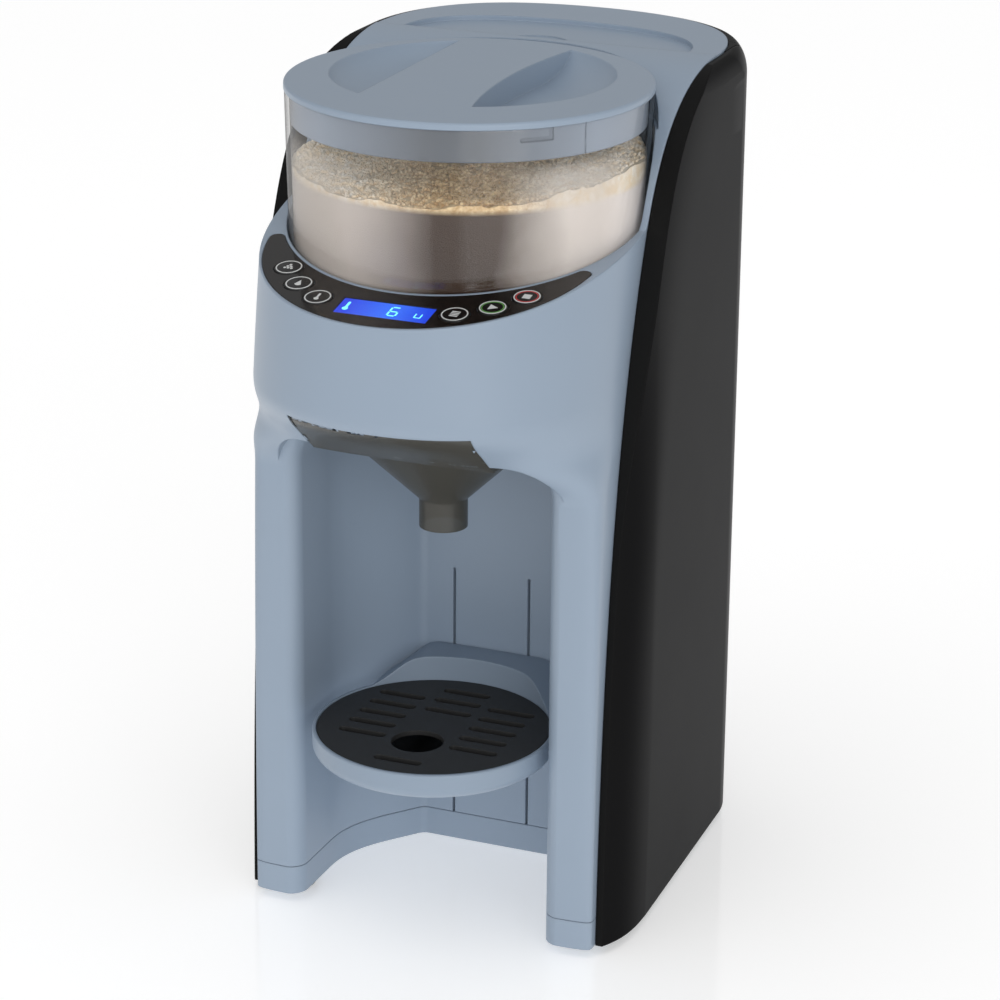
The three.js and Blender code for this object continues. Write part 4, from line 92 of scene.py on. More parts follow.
# Outlines
def bezier(points, count):
    t = np.linspace(0, 1, count + 1)[:, None]
    p = np.array(points, float)
    if len(p) == 3:
        return (1 - t) ** 2 * p[0] + 2 * t * (1 - t) * p[1] + t ** 2 * p[2]
    return (1 - t) ** 3 * p[0] + 3 * t * (1 - t) ** 2 * p[1] + 3 * t ** 2 * (1 - t) * p[2] + t ** 3 * p[3]


def arc(x, y, radius, start, end, count):
    a = np.linspace(start, end, count + 1)
    return np.c_[x + radius * np.cos(a), y + radius * np.sin(a)]


def chain(*parts):
    points = np.vstack([np.atleast_2d(np.array(part, float)) for part in parts])
    kept = [points[0]]
    for point in points[1:]:
        if np.hypot(*(point - kept[-1])) > 1e-3:
            kept.append(point)
    if np.hypot(*(kept[0] - kept[-1])) < 1e-3:
        kept.pop()
    return np.array(kept)


def smooth_step(value, low, high):
    t = min(1.0, max(0.0, (value - low) / (high - low)))
    return t * t * (3 - 2 * t)


# Solids
def linked(name, data):
    thing = bpy.data.objects.new(name, data)
    bpy.context.scene.collection.objects.link(thing)
    return thing


def with_bmesh(mesh, work):
    bm = bmesh.new()
    bm.from_mesh(mesh)
    work(bm)
    bm.to_mesh(mesh)
    bm.free()


def solid(name, verts, faces):
    def close(bm):
        bmesh.ops.remove_doubles(bm, verts=bm.verts, dist=1e-6)
        bmesh.ops.recalc_face_normals(bm, faces=bm.faces)

    mesh = bpy.data.meshes.new(name)
    mesh.from_pydata((np.asarray(verts, float) * MM).tolist(), [], faces)
    with_bmesh(mesh, close)
    return linked(name, mesh)


def loft(name, rings):
    count = len(rings[0])
    faces = []
    for ring in range(len(rings) - 1):
        a, b = ring * count, (ring + 1) * count
        faces += [(a + i, a + (i + 1) % count, b + (i + 1) % count, b + i) for i in range(count)]
    last = (len(rings) - 1) * count
    faces += [tuple(reversed(range(count))), tuple(range(last, last + count))]
    return solid(name, np.vstack(rings), faces)


def prism(name, outline, low, high, axis="z"):
    outline = chain(outline)
    rings = []
    for level in (low, high):
        flat = np.full(len(outline), float(level))
        columns = {"z": (outline[:, 0], outline[:, 1], flat),
                   "x": (flat, outline[:, 0], outline[:, 1]),
                   "y": (outline[:, 0], flat, outline[:, 1])}[axis]
        rings.append(np.c_[columns])
    return loft(name, rings)


def block(x0, x1, y0, y1, z0, z1):
    return prism("block", [(x0, y0), (x1, y0), (x1, y1), (x0, y1)], z0, z1)


def lathe(name, profile, x, y, steps=160):
    verts, rows = [], []
    for radius, z in profile:
        if radius < 1e-6:
            rows.append([len(verts)] * steps)
            verts.append((x, y, z))
        else:
            rows.append(list(range(len(verts), len(verts) + steps)))
            turn = np.linspace(0, math.tau, steps, endpoint=False)
            verts += [(x + radius * math.cos(a), y + radius * math.sin(a), z) for a in turn]
    closed = profile[0][0] > 1e-6 or profile[-1][0] > 1e-6
    pairs = list(zip(rows, rows[1:])) + ([(rows[-1], rows[0])] if closed else [])
    faces = []
    for low, high in pairs:
        for i in range(steps):
            j = (i + 1) % steps
            face = list(dict.fromkeys((low[i], low[j], high[j], high[i])))
            if len(face) > 2:
                faces.append(tuple(face))
    return solid(name, verts, faces)


def rod(radius, x, y, z0, z1, steps=96):
    return lathe("rod", [(0, z0), (radius, z0), (radius, z1), (0, z1)], x, y, steps)


def moved(piece, matrix):
    piece.data.transform(matrix)
    if matrix.determinant() < 0:
        piece.data.flip_normals()
    return piece


def shifted(piece, x, y, z):
    return moved(piece, Matrix.Translation((x * MM, y * MM, z * MM)))


def tilted(piece):
    return moved(piece, Matrix.Translation((0, PANEL_Y * MM, PANEL_Z * MM)) @ Matrix.Rotation(TILT, 4, "X"))


def mirrored_copy(piece, name):
    return moved(linked(name, piece.data.copy()), Matrix.Scale(-1, 4, (1, 0, 0)))


def settle(piece):
    graph = bpy.context.evaluated_depsgraph_get()
    graph.update()
    mesh = bpy.data.meshes.new_from_object(piece.evaluated_get(graph))
    piece.modifiers.clear()
    old, piece.data = piece.data, mesh
    bpy.data.meshes.remove(old)
    return piece


def discard(*tools):
    for tool in tools:
        mesh = tool.data
        bpy.data.objects.remove(tool)
        if mesh.users == 0:
            bpy.data.meshes.remove(mesh)


def boolean(piece, operation, tools):
    for tool in tools:
        step = piece.modifiers.new("step", "BOOLEAN")
        step.operation, step.object, step.solver = operation, tool, "MANIFOLD"
    settle(piece)
    discard(*tools)
    return piece


def cut(piece, *tools):
    return boolean(piece, "DIFFERENCE", tools)


def join(piece, *tools):
    return boolean(piece, "UNION", tools)


def common(piece, *tools):
    return boolean(piece, "INTERSECT", tools)


# Node trees
def feed(node, links):
    for socket, value in links:
        target = node.inputs[socket]
        if isinstance(value, bpy.types.NodeSocket):
            node.id_data.links.new(value, target)
        else:
            target.default_value = value
    return node


def add(tree, kind, links=(), **settings):
    node = tree.nodes.new(kind)
    for key, value in settings.items():
        setattr(node, key, value)
    return feed(node, links)


def math_node(tree, operation, *values):
    return add(tree, "ShaderNodeMath", list(enumerate(values)), operation=operation).outputs[0]


def times(tree, first, second):
    return math_node(tree, "MULTIPLY", first, second)


def socket_kind(value):
    if isinstance(value, tuple):
        return "Color" if len(value) == 4 else "Vector"
    return {float: "Float", int: "Int", type(None): "Geometry"}[type(value)]


def node_group(name, kind, inputs, **outputs):
    group = bpy.data.node_groups.new(name, kind)
    for label, sort in outputs.items():
        group.interface.new_socket(label, in_out="OUTPUT", socket_type="NodeSocket" + sort)
    for label, value in inputs.items():
        kind_of_socket = "NodeSocket" + socket_kind(value)
        socket = group.interface.new_socket(label, in_out="INPUT", socket_type=kind_of_socket)
        if value is not None:
            socket.default_value = value
    return group, add(group, "NodeGroupInput").outputs, add(group, "NodeGroupOutput")


def painted(tree, instances, material, target):
    real = add(tree, "GeometryNodeRealizeInstances", [("Geometry", instances)])
    paint = add(tree, "GeometryNodeSetMaterial", [
        ("Material", material), ("Geometry", real.outputs["Geometry"])])
    feed(target, [("Geometry", paint.outputs["Geometry"])])
    return tree


def grow(piece, tree, **values):
    step = piece.modifiers.new("grow", "NODES")
    step.node_group = tree
    for item in tree.interface.items_tree:
        key = item.name.replace(" ", "_").lower()
        if item.in_out == "INPUT" and key in values:
            step[item.identifier] = values[key]
    return settle(piece)


# Curved main forms
EDGE = np.vstack([bezier(EDGE_LOWER, 56), bezier(EDGE_UPPER, 48)[1:]])


def edge_y(z):
    return float(np.interp(z, EDGE[:, 1], EDGE[:, 0]))


def deck_plane(y):
    return PANEL_Z + PANEL_SLOPE * (y - PANEL_Y)


def housing_ring(z, inset, steps=128):
    blend = smooth_step(z, CHIN_BOTTOM, CHIN_TOP)
    half = HALF_WIDTH - inset
    corner = edge_y(z) + inset
    front = COLUMN_Y - HEAD_OVERHANG * blend + inset
    power = HEAD_POWER + (COLUMN_POWER - HEAD_POWER) * (1 - blend) ** BLEND_POWER
    side = np.sin(np.pi * (np.arange(steps + 1) / steps - 0.5))
    reach = np.maximum(0, 1 - np.abs(side) ** power) ** (1 / power)
    curve = np.c_[half * side, corner - (corner - front) * reach, np.full(steps + 1, z)]
    return np.vstack([curve, [(half, HOUSING_REAR, z), (-half, HOUSING_REAR, z)]])


def housing_loft(name, low, high, inset):
    heights = list(np.linspace(low, CHIN_BOTTOM, 28)) + list(np.linspace(CHIN_BOTTOM, CHIN_TOP, 28)[1:])
    if high > CHIN_TOP:
        heights += list(np.linspace(CHIN_TOP, high, 28)[1:])
    return loft(name, [housing_ring(z, inset) for z in heights if z <= high])


def above_deck(depth):
    start, top = FRONT_Y - OVERRUN, TOTAL_HEIGHT + OVERRUN
    rising = np.array([p for p in EDGE if p[1] > deck_plane(p[0]) + WALL])
    bend = rising[0][0] - WALL
    points = [(start, deck_plane(start) - depth), (bend, deck_plane(bend) - depth)]
    points += [(y + depth, z - depth) for y, z in rising]
    points += [(REAR_Y, TOTAL_HEIGHT - depth), (REAR_Y, top), (start, top)]
    width = HALF_WIDTH + OVERRUN
    return prism("above_deck", points, -width, width, "x")


def bowl(offset):
    low, wide = BOWL_FLOOR - offset, BOWL_CLEARANCE + offset
    top = TOTAL_HEIGHT + OVERRUN
    return lathe("bowl", [(0, low), (JAR_BOTTOM_R + wide, low), (JAR_TOP_R + wide, top), (0, top)], 0, JAR_Y)


def lid_room(offset):
    return rod(JAR_TOP_R + BOWL_CLEARANCE + offset, 0, JAR_Y + LID_ROOM_SHIFT, LID_ROOM_BOTTOM - offset,
               TOTAL_HEIGHT + OVERRUN, 160)


def alcove_plan(offset):
    half, back = ALCOVE_HALF + offset, ALCOVE_BACK + offset
    bend, side = COLUMN_Y + 33, COLUMN_Y + 55
    slant = (44.5 + offset, COLUMN_Y + 66.5 + offset / 2)
    back_x = 34.5 + offset / 2
    right = chain(
        [(half, FRONT_Y - OVERRUN)],
        bezier([(half, bend), (half, side), slant, (back_x, back - 2)], 24),
        bezier([(back_x, back - 2), (back_x - 2, back), (back_x - 4, back)], 6),
    )
    left = right[::-1] * (-1, 1)
    return np.vstack([right, left])


def arch(y, flare, lift):
    half, radius = ALCOVE_HALF + flare, ARCH_R + 0.4 * flare
    bottom = BASE_BOTTOM - OVERRUN
    right = arc(half - radius, ALCOVE_TOP - radius, radius, 0, math.pi / 2, 16)
    left = arc(radius - half, ALCOVE_TOP - radius, radius, math.pi / 2, math.pi, 16)
    flat = np.vstack([[(half, bottom)], right, left, [(-half, bottom)]])
    return np.c_[flat[:, 0], np.full(len(flat), y), flat[:, 1] + lift]


def alcove_void(offset):
    inner = common(
        prism("alcove", alcove_plan(offset), BASE_BOTTOM - OVERRUN, ALCOVE_TOP + offset),
        loft("arch", [arch(y, offset, offset) for y in (FRONT_Y, ALCOVE_BACK + OVERRUN + offset)]),
    )
    rings = [arch(FRONT_Y - OVERRUN, MOUTH_R + offset, offset)]
    for turn in np.linspace(0, math.pi / 2, 13):
        flare = MOUTH_R * (1 - math.sin(turn)) + offset
        rings.append(arch(COLUMN_Y + MOUTH_R * (1 - math.cos(turn)) + offset, flare, offset))
    return join(inner, loft("mouth", rings))


def crescent(outer, inner, tip):
    span = JAR_Y - PANEL_CENTRE_Y
    to_outer, to_inner = outer - tip, inner + tip
    along = (span ** 2 + to_inner ** 2 - to_outer ** 2) / (2 * span)
    tip_y, tip_x = JAR_Y - along, math.sqrt(to_inner ** 2 - along ** 2)
    outer_turn = math.atan2(tip_y - PANEL_CENTRE_Y, tip_x)
    inner_turn = math.atan2(tip_y - JAR_Y, tip_x)
    return chain(
        arc(0, PANEL_CENTRE_Y, outer, math.pi - outer_turn, 2 * math.pi + outer_turn, 96),
        arc(tip_x, tip_y, tip, outer_turn, math.pi + inner_turn, 12),
        arc(0, JAR_Y, inner, inner_turn, -math.pi - inner_turn, 96),
        arc(-tip_x, tip_y, tip, -inner_turn, math.pi - outer_turn, 12),
    )


def under_tilt(outline, top, bottom):
    reach = 2 * BODY_WIDTH
    slab = tilted(block(-reach, reach, -reach, reach, bottom, top))
    return common(prism("plan", outline, CHIN_TOP, TOTAL_HEIGHT), slab)


def key_places():
    radius, places = PANEL_OUTER - KEY_INSET, []
    for degrees in (-56.9, -42.7, -28.5, 28.5, 42.7, 56.9):
        a = math.radians(degrees)
        y = PANEL_CENTRE_Y - radius * math.cos(a)
        places.append((KEYS_X + radius * math.sin(a), (y - PANEL_Y) / math.cos(TILT)))
    return places


KEYS = key_places()
SCREEN_FRONT = (FRONT_Y + PANEL_EDGE + SCREEN_INSET - PANEL_Y) / math.cos(TILT)


def screen_block(margin, top, bottom):
    return block(SCREEN_X - SCREEN_W / 2 - margin, SCREEN_X + SCREEN_W / 2 + margin,
                 SCREEN_FRONT - margin, SCREEN_FRONT + SCREEN_H + margin, bottom, top)


def panel_holes(margin, top, bottom):
    tools = [rod(KEY_R + margin, x, y, bottom, top) for x, y in KEYS]
    tools.append(screen_block(margin, top, bottom))
    return [tilted(tool) for tool in tools]


def chin_band(margin, setback):
    skin = housing_loft("skin", HOUSING_BOTTOM, CHIN_TOP, 0)
    back = shifted(housing_loft("back", HOUSING_BOTTOM - OVERRUN, CHIN_TOP, 0), 0, setback, 0)
    reach = VISOR_HALF + margin
    zone = block(-reach, reach, FRONT_Y - OVERRUN, COLUMN_Y, ALCOVE_TOP - margin - 1.6, VISOR_TOP + margin)
    return cut(common(skin, zone), back)


def rear_curve(inset, steps=48):
    wide = BODY_WIDTH / 2 - inset
    return bezier([(wide - TAPER_IN, TAPER_END), (TAPER_X - inset, TAPER_END + 34 - inset / 2),
                   (52, REAR_Y - inset), (0, REAR_Y - inset)], steps)


def deck_curve(half, rear, steps=48):
    start = DECK_CURVE_START
    points = [(half, start), (half - 0.8, start + (rear - start) * 0.54), (half * 0.75, rear), (0, rear)]
    return bezier(points, steps)


def both_sides(right):
    return np.vstack([right, (right[:-1] * (-1, 1))[::-1]])


def plan_prism(inset, low, high):
    wide = BODY_WIDTH / 2 - inset
    right = np.vstack([[(wide, FRONT_Y), (wide, TAPER_START)], rear_curve(inset)])
    return prism("plan", both_sides(right), low, high)


def deck_prism(half, rear, front, low, high):
    right = np.vstack([[(half, DECK_REAR - OVERRUN)], deck_curve(half, rear)])
    body = prism("deck", both_sides(right), low, high)
    return common(body, block(-BODY_WIDTH, BODY_WIDTH, front, BODY_DEPTH, low - 1, high + 1))


def rear_envelope():
    start, top = TANK_TOP + GAP, TOTAL_HEIGHT - LID_RIM_DROP
    lower_x, upper_x = BODY_WIDTH / 2, HALF_WIDTH + LID_RIM
    lower = both_sides(np.vstack([[(lower_x, FRONT_Y), (lower_x, TAPER_START)], rear_curve(0)]))
    upper = both_sides(np.vstack([[(upper_x, FRONT_Y), (upper_x, TAPER_START)],
                                  deck_curve(upper_x, DECK_END + LID_RIM)]))
    rings = [np.c_[lower, np.full(len(lower), BASE_BOTTOM)]]
    for turn in np.linspace(0, math.pi / 2, 12):
        mixed = lower + (upper - lower) * (1 - math.cos(turn))
        rings.append(np.c_[mixed, np.full(len(mixed), start + (top - start) * math.sin(turn))])
    return loft("envelope", rings)


# Housing with alcove, chin, head, bowl, shoulders and deck
def housing_hollow():
    inside = housing_loft("inside", HOUSING_BOTTOM - OVERRUN, TOTAL_HEIGHT, WALL)
    shelf_room = block(-BODY_WIDTH, BODY_WIDTH, -BODY_DEPTH, HOUSING_REAR + 2 * OVERRUN, SHELF - WALL, SKY)
    return cut(inside, above_deck(WALL), bowl(WALL), lid_room(WALL), alcove_void(WALL),
               chin_band(WALL, VISOR_SETBACK + CHIN_WALL), shelf_room)


def funnel_rail():
    side, low, hook, thick = PLATE_HALF + GAP, PLATE_BOTTOM - GAP, 2.7, 2.5
    above = ALCOVE_TOP + WALL / 2
    profile = [(side - hook, low - thick), (side + thick, low - thick), (side + thick, above), (side, above),
               (side, low), (side - hook, low)]
    return prism("rail", profile, COLUMN_Y + 3 * WALL, PLATE_REAR, "y")


def front_housing():
    body = housing_loft("housing_front", HOUSING_BOTTOM, TOTAL_HEIGHT, 0)
    behind = block(-BODY_WIDTH, BODY_WIDTH, DECK_REAR, HOUSING_REAR + OVERRUN, HOUSING_BOTTOM - OVERRUN, SKY)
    recess = under_tilt(crescent(PANEL_OUTER + GAP, PANEL_INNER - GAP, PANEL_TIP + GAP),
                        OVERRUN, -PANEL_THICK - GAP)
    half = PLATE_HALF + GAP
    groove = block(-half, half, COLUMN_Y, PLATE_REAR + GAP, PLATE_BOTTOM - GAP, ALCOVE_TOP)
    tracks = [block(x - TRACK_WIDTH / 2, x + TRACK_WIDTH / 2, ALCOVE_BACK - OVERRUN,
                    ALCOVE_BACK + WALL + OVERRUN, TRACK_LOW, TRACK_HIGH) for x in (-TRACK_X, TRACK_X)]
    holes = [rod(SHAFT_HOLE_R, 0, JAR_Y, BOWL_FLOOR - 2 * WALL, BOWL_FLOOR + WALL),
             rod(OUTLET_R, 0, FUNNEL_Y, ALCOVE_TOP - OVERRUN, BOWL_FLOOR + WALL),
             rod(NOZZLE_HOLE_R, NOZZLE_X, FUNNEL_Y, ALCOVE_TOP - OVERRUN, ALCOVE_TOP + 2 * WALL)]
    cut(body, above_deck(0), bowl(0), lid_room(0), alcove_void(0), behind, housing_hollow(),
        chin_band(VISOR_GAP, VISOR_SETBACK + GAP), recess, *panel_holes(GAP, OVERRUN, -PANEL_BORE),
        *holes, *tracks, groove)
    rail = funnel_rail()
    return join(body, rail, mirrored_copy(rail, "rail_left"))


def base_plinth():
    body = prism("plinth_band", housing_ring(HOUSING_BOTTOM, 0)[:, :2], BASE_BOTTOM, BASE_TOP)
    inner = housing_ring(HOUSING_BOTTOM, WALL)[:, :2]
    hollow = prism("hollow", inner, BASE_BOTTOM + WALL, BASE_TOP + OVERRUN)
    rear_wall = block(-SIDE_REACH, SIDE_REACH, HOUSING_REAR - WALL, HOUSING_REAR + OVERRUN, 0, SKY)
    cut(hollow, alcove_void(WALL), rear_wall)
    return cut(body, alcove_void(0), hollow)


# Side shell, whose broad rounding grows wider above the columns
def side_shell():
    full = BODY_WIDTH / 2 - SHELL_INNER
    rear = SHELL_REAR + OVERRUN
    tangent = np.gradient(EDGE, axis=0)
    tangent /= np.hypot(tangent[:, 0], tangent[:, 1])[:, None]

    def ring(depth, inset, outer):
        y = EDGE[:, 0] + tangent[:, 1] * inset
        z = np.where(np.arange(len(EDGE)) == 0, BASE_BOTTOM, EDGE[:, 1] - tangent[:, 0] * inset)
        y, z = np.append(y, [rear, rear]), np.append(z, [TOTAL_HEIGHT - inset, BASE_BOTTOM])
        deep = np.full(len(y), float(depth))
        if outer and depth > 0:
            high = np.array([smooth_step(level, ROUND_START, ROUND_END) for level in z])
            deep += (full - depth) * ROUND_SHARE * high
        taper = TAPER_IN * np.maximum(0, y - TAPER_START) / (TAPER_END - TAPER_START)
        return np.c_[SHELL_INNER + deep * (1 - taper / full), y, z]

    rings = [ring(0, 0, True)]
    for share in np.linspace(0, 1, 25) ** 1.6:
        rings.append(ring(WALL + ROUND_DEPTH * (1 - (1 - share) ** 3), ROUND_WIDTH * share, True))
    shell = loft("shell_side_right", rings)
    cavity = common(
        loft("cavity", [ring(-OVERRUN, 3 * WALL, False), ring(WALL + 1, 3 * WALL, False)]),
        block(0, SIDE_REACH, -BODY_DEPTH, SHELL_REAR - WALL, BASE_BOTTOM + WALL, SKY),
    )
    common(shell, block(0, SIDE_REACH, -BODY_DEPTH, SHELL_REAR, 0, SKY))
    cut(shell, cavity)
    return common(shell, rear_envelope())


# Corner piece between the lid panel's curve and a side shell
def deck_corner():
    corner = block(HALF_WIDTH - 2 * WALL, HALF_WIDTH, DECK_REAR + 4 * WALL, SHELL_REAR, SHELF + GAP,
                   TOTAL_HEIGHT)
    corner.name = "deck_corner_piece_right"
    cut(corner, deck_prism(HALF_WIDTH + GAP, DECK_END + GAP, DECK_REAR - OVERRUN, 0, SKY))
    return common(corner, rear_envelope())


# Container, powder and lid
def jar_radius(z):
    return JAR_BOTTOM_R + (JAR_TOP_R - JAR_BOTTOM_R) * (z - JAR_BOTTOM) / (JAR_TOP - JAR_BOTTOM)


def powder_container():
    under, lip = JAR_FLOOR - WALL, 0.6
    wall = lathe("jar_clear", [
        (0, under), (jar_radius(under) - JAR_WALL, under), (JAR_BOTTOM_R - JAR_WALL, JAR_BOTTOM),
        (JAR_BOTTOM_R, JAR_BOTTOM), (JAR_TOP_R, JAR_TOP - lip), (JAR_TOP_R - lip / 3, JAR_TOP),
        (JAR_TOP_R - JAR_WALL + lip / 3, JAR_TOP), (JAR_TOP_R - JAR_WALL, JAR_TOP - lip),
        (jar_radius(JAR_FLOOR) - JAR_WALL, JAR_FLOOR), (0, JAR_FLOOR)], 0, JAR_Y, 200)
    join(wall, rod(OUTLET_R + 1.5, 0, FUNNEL_Y, JAR_BOTTOM, JAR_FLOOR))
    return cut(wall, rod(OUTLET_R, 0, FUNNEL_Y, JAR_BOTTOM - WALL, JAR_FLOOR + WALL),
               rod(HUB_HOLE_R, 0, JAR_Y, JAR_BOTTOM - WALL, JAR_FLOOR + WALL))


def heap_height(x, y):
    coarse = noise.fractal(Vector((x * 0.035, y * 0.035, 3.1)), 0.9, 2.1, 3)
    fine = noise.fractal(Vector((x * 0.22, y * 0.22, 7.7)), 0.7, 2.0, 4)
    across = ACROSS_X * x + ACROSS_Y * y
    return 2.6 * coarse + 1.1 * abs(fine) + 5.5 * smooth_step(across, 8, 60)


def powder_heap():
    reach = lambda z: jar_radius(z) - JAR_WALL - HEAP_GAP
    floor = JAR_FLOOR + GAP
    under = [(0, WHEEL_TOP), (WHEEL_SWEEP, WHEEL_TOP), (WHEEL_SWEEP, floor), (reach(JAR_FLOOR), floor)]
    rim = [(reach(z), z) for z in np.linspace(JAR_FLOOR + 4, POWDER_TOP - 2, 10)]
    top = [(r, POWDER_TOP) for r in np.linspace(reach(POWDER_TOP), 0, 110)]
    heap = lathe("powder_heap", under + rim + top, 0, JAR_Y, 260)
    for vertex in heap.data.vertices:
        x, y, z = vertex.co / MM
        if z > POWDER_TOP - 1:
            vertex.co.z = (POWDER_TOP + heap_height(x, y) - HEAP_SINK) * MM
    return heap


def crumb_tree(material):
    tree, given, target = node_group("powder_crumbs", "GeometryNodeTree", {
        "Bed": None, "Density": 360000.0, "Smallest": 0.00035, "Largest": 0.00105, "Seed": 7},
        Geometry="Geometry")
    points = add(tree, "GeometryNodeDistributePointsOnFaces", [
        ("Mesh", given["Bed"]), ("Density", given["Density"]), ("Seed", given["Seed"])])
    grain = add(tree, "GeometryNodeMeshIcoSphere", [("Radius", 1.0), ("Subdivisions", 1)])
    size = add(tree, "FunctionNodeRandomValue", [
        (2, given["Smallest"]), (3, given["Largest"]), (8, given["Seed"])], data_type="FLOAT")
    turn = add(tree, "FunctionNodeRandomValue", [
        (1, (math.tau, math.tau, math.tau)), (8, given["Seed"])], data_type="FLOAT_VECTOR")
    spread = add(tree, "GeometryNodeInstanceOnPoints", [
        ("Points", points.outputs["Points"]), ("Instance", grain.outputs["Mesh"]),
        ("Scale", size.outputs[1]), ("Rotation", turn.outputs[0])])
    return painted(tree, spread.outputs["Instances"], material, target)


def powder_crumbs(material):
    steps, rows, sink, rim = 120, 24, 0.9, 1.2
    inner, wide = OUTLET_R + 1, jar_radius(POWDER_TOP) - JAR_WALL - GAP - rim
    verts, faces = [], []
    for row in range(rows + 1):
        radius = inner + (wide - inner) * row / rows
        for step in range(steps):
            turn = math.tau * step / steps
            x, y = radius * math.cos(turn), JAR_Y + radius * math.sin(turn)
            verts.append((x, y, POWDER_TOP - sink + heap_height(x, y)))
    for row in range(rows):
        low, high = row * steps, (row + 1) * steps
        faces += [(low + i, low + (i + 1) % steps, high + (i + 1) % steps, high + i) for i in range(steps)]
    return grow(solid("powder_crumbs", verts, faces), crumb_tree(material))


# The grip stands in the lid's dish: one side straight, the other bowed inwards
def grip_outline(inset, length):
    middle, end, waist = JAR_Y + DISH_SHIFT_Y, GRIP_RIGHT - inset, 2 * GRIP_WAIST - GRIP_RIGHT - inset
    return chain([(inset - GRIP_LEFT, middle - length)],
                 bezier([(end, middle - length), (waist, middle), (end, middle + length)], 40),
                 [(inset - GRIP_LEFT, middle + length)])


def skirt_groove(start, end, low, high):
    first, last = start - math.pi / 2, end - math.pi / 2
    outside, inside = SKIRT_R + 1.1, SKIRT_R - 0.7
    outline = chain(arc(0, JAR_Y, outside, first, last, 8), arc(0, JAR_Y, inside, last, first, 8))
    return prism("groove", outline, low, high)


def lid_seal():
    inner, outer, low, high = 73.95, 74.6, 356.22, 359.18
    return lathe("lid_seal", [(inner, low), (outer, low), (outer, high), (inner, high)], 0, JAR_Y, 220)


def container_lid():
    bottom, under, thick, rounding = 353.2, TOTAL_HEIGHT - 3, 1.8, 1.2
    dish_x, dish_y, dish_r, floor = -3, JAR_Y + DISH_SHIFT_Y, 60.7, TOTAL_HEIGHT - 11
    top = TOTAL_HEIGHT + OVERRUN
    round_edge = arc(LID_R - rounding, TOTAL_HEIGHT - rounding, rounding, 0, math.pi / 2, 8)
    disc = lathe("jar_lid", [
        (0, under), (SKIRT_R - thick, under), (SKIRT_R - thick, bottom), (SKIRT_R, bottom), (SKIRT_R, under),
        (LID_R, under), *round_edge.tolist(), (0, TOTAL_HEIGHT)], 0, JAR_Y, 220)
    curve = bezier([(36, floor), (dish_r - 4, floor + 2), (dish_r, TOTAL_HEIGHT)], 20)
    bump = lathe("bump", [(0, floor - 2), *(curve + (2, -2)).tolist(), (0, TOTAL_HEIGHT - 2)],
                 dish_x, dish_y, 160)
    dish = lathe("dish", [(0, floor), *curve.tolist(), (dish_r, top), (0, top)], dish_x, dish_y, 200)
    grip = prism("grip", grip_outline(0, LID_R), bottom, TOTAL_HEIGHT + 4)
    hollow = common(prism("hollow", grip_outline(2, LID_R), bottom, under),
                    rod(dish_r - 4, dish_x, dish_y, bottom - 1, under + 1))
    marks = [skirt_groove(0.838, 0.86, 361.4, 366.9), skirt_groove(0.67, 0.86, 361.0, 362.4),
             skirt_groove(1.064, 1.072, bottom - 1, 366.9)]
    join(disc, bump)
    return cut(disc, cut(dish, grip), hollow, *marks)


# Panel, screen and keys
def control_panel():
    lens = under_tilt(crescent(PANEL_OUTER, PANEL_INNER, PANEL_TIP), 0, -PANEL_THICK)
    lens.name = "panel_lens"
    return cut(lens, *panel_holes(GAP, OVERRUN, -OVERRUN))


def key_cap(name, x, y):
    stem_r, stem_low = 2.5, -6
    profile = [(0, stem_low), (stem_r, stem_low), (stem_r, -KEY_DEPTH), (KEY_R, -KEY_DEPTH), (KEY_R, -0.2),
               (KEY_R - 0.1, 0.05), (KEY_R - 0.4, 0.25), (KEY_R - 1.2, 0.36), (0, KEY_CROWN)]
    return tilted(lathe(name, profile, x, y, 72))


def flat_mark(name, outline, x, y, low, high):
    return tilted(prism(name, np.array(outline, float) + (x, y), low, high))


def ring_mark(name, outer, inner, x, y):
    low, high = 0.28, 0.46
    return tilted(lathe(name, [(inner, low), (outer, low), (outer, high), (inner, high)], x, y, 64))


def merged(name, pieces):
    verts, faces = [], []
    for piece in pieces:
        start = len(verts)
        verts += [vertex.co / MM for vertex in piece.data.vertices]
        faces += [tuple(start + i for i in polygon.vertices) for polygon in piece.data.polygons]
    discard(*pieces)
    return solid(name, verts, faces)


def disc_outline(radius, x=0, y=0, count=24):
    return arc(x, y, radius, 0, math.tau * (1 - 1 / count), count - 1)


def drop_outline(size):
    belly = arc(0, -0.25 * size, 0.62 * size, math.radians(200), math.radians(340), 16)
    return chain([(0, size)], bezier([(0, size), (-0.15 * size, 0.45 * size), tuple(belly[0])], 8),
                 belly, bezier([tuple(belly[-1]), (0.15 * size, 0.45 * size), (0, size)], 8))


def bar_outline(width, height, x=0, y=0):
    left, right, low, high = x - width / 2, x + width / 2, y - height / 2, y + height / 2
    return [(left, low), (right, low), (right, high), (left, high)]


GRAIN_PLACES = [(-1.5, -0.9), (0, -0.9), (1.5, -0.9), (-0.75, 0.5), (0.75, 0.5), (0, 1.9)]
SYMBOLS = {
    "powder": [disc_outline(0.62, x, y) for x, y in GRAIN_PLACES],
    "water": [drop_outline(2.5)],
    "temperature": [disc_outline(1.05, 0, -1.6), bar_outline(0.9, 3.6, 0, 0.9)],
    "amount": [bar_outline(3.6, 0.6, 0, y) for y in (-1.7, -0.5, 0.7, 1.9)],
    "start": [[(-1.5, -2.1), (2.3, 0), (-1.5, 2.1)]],
    "stop": [bar_outline(3.4, 3.4)],
}


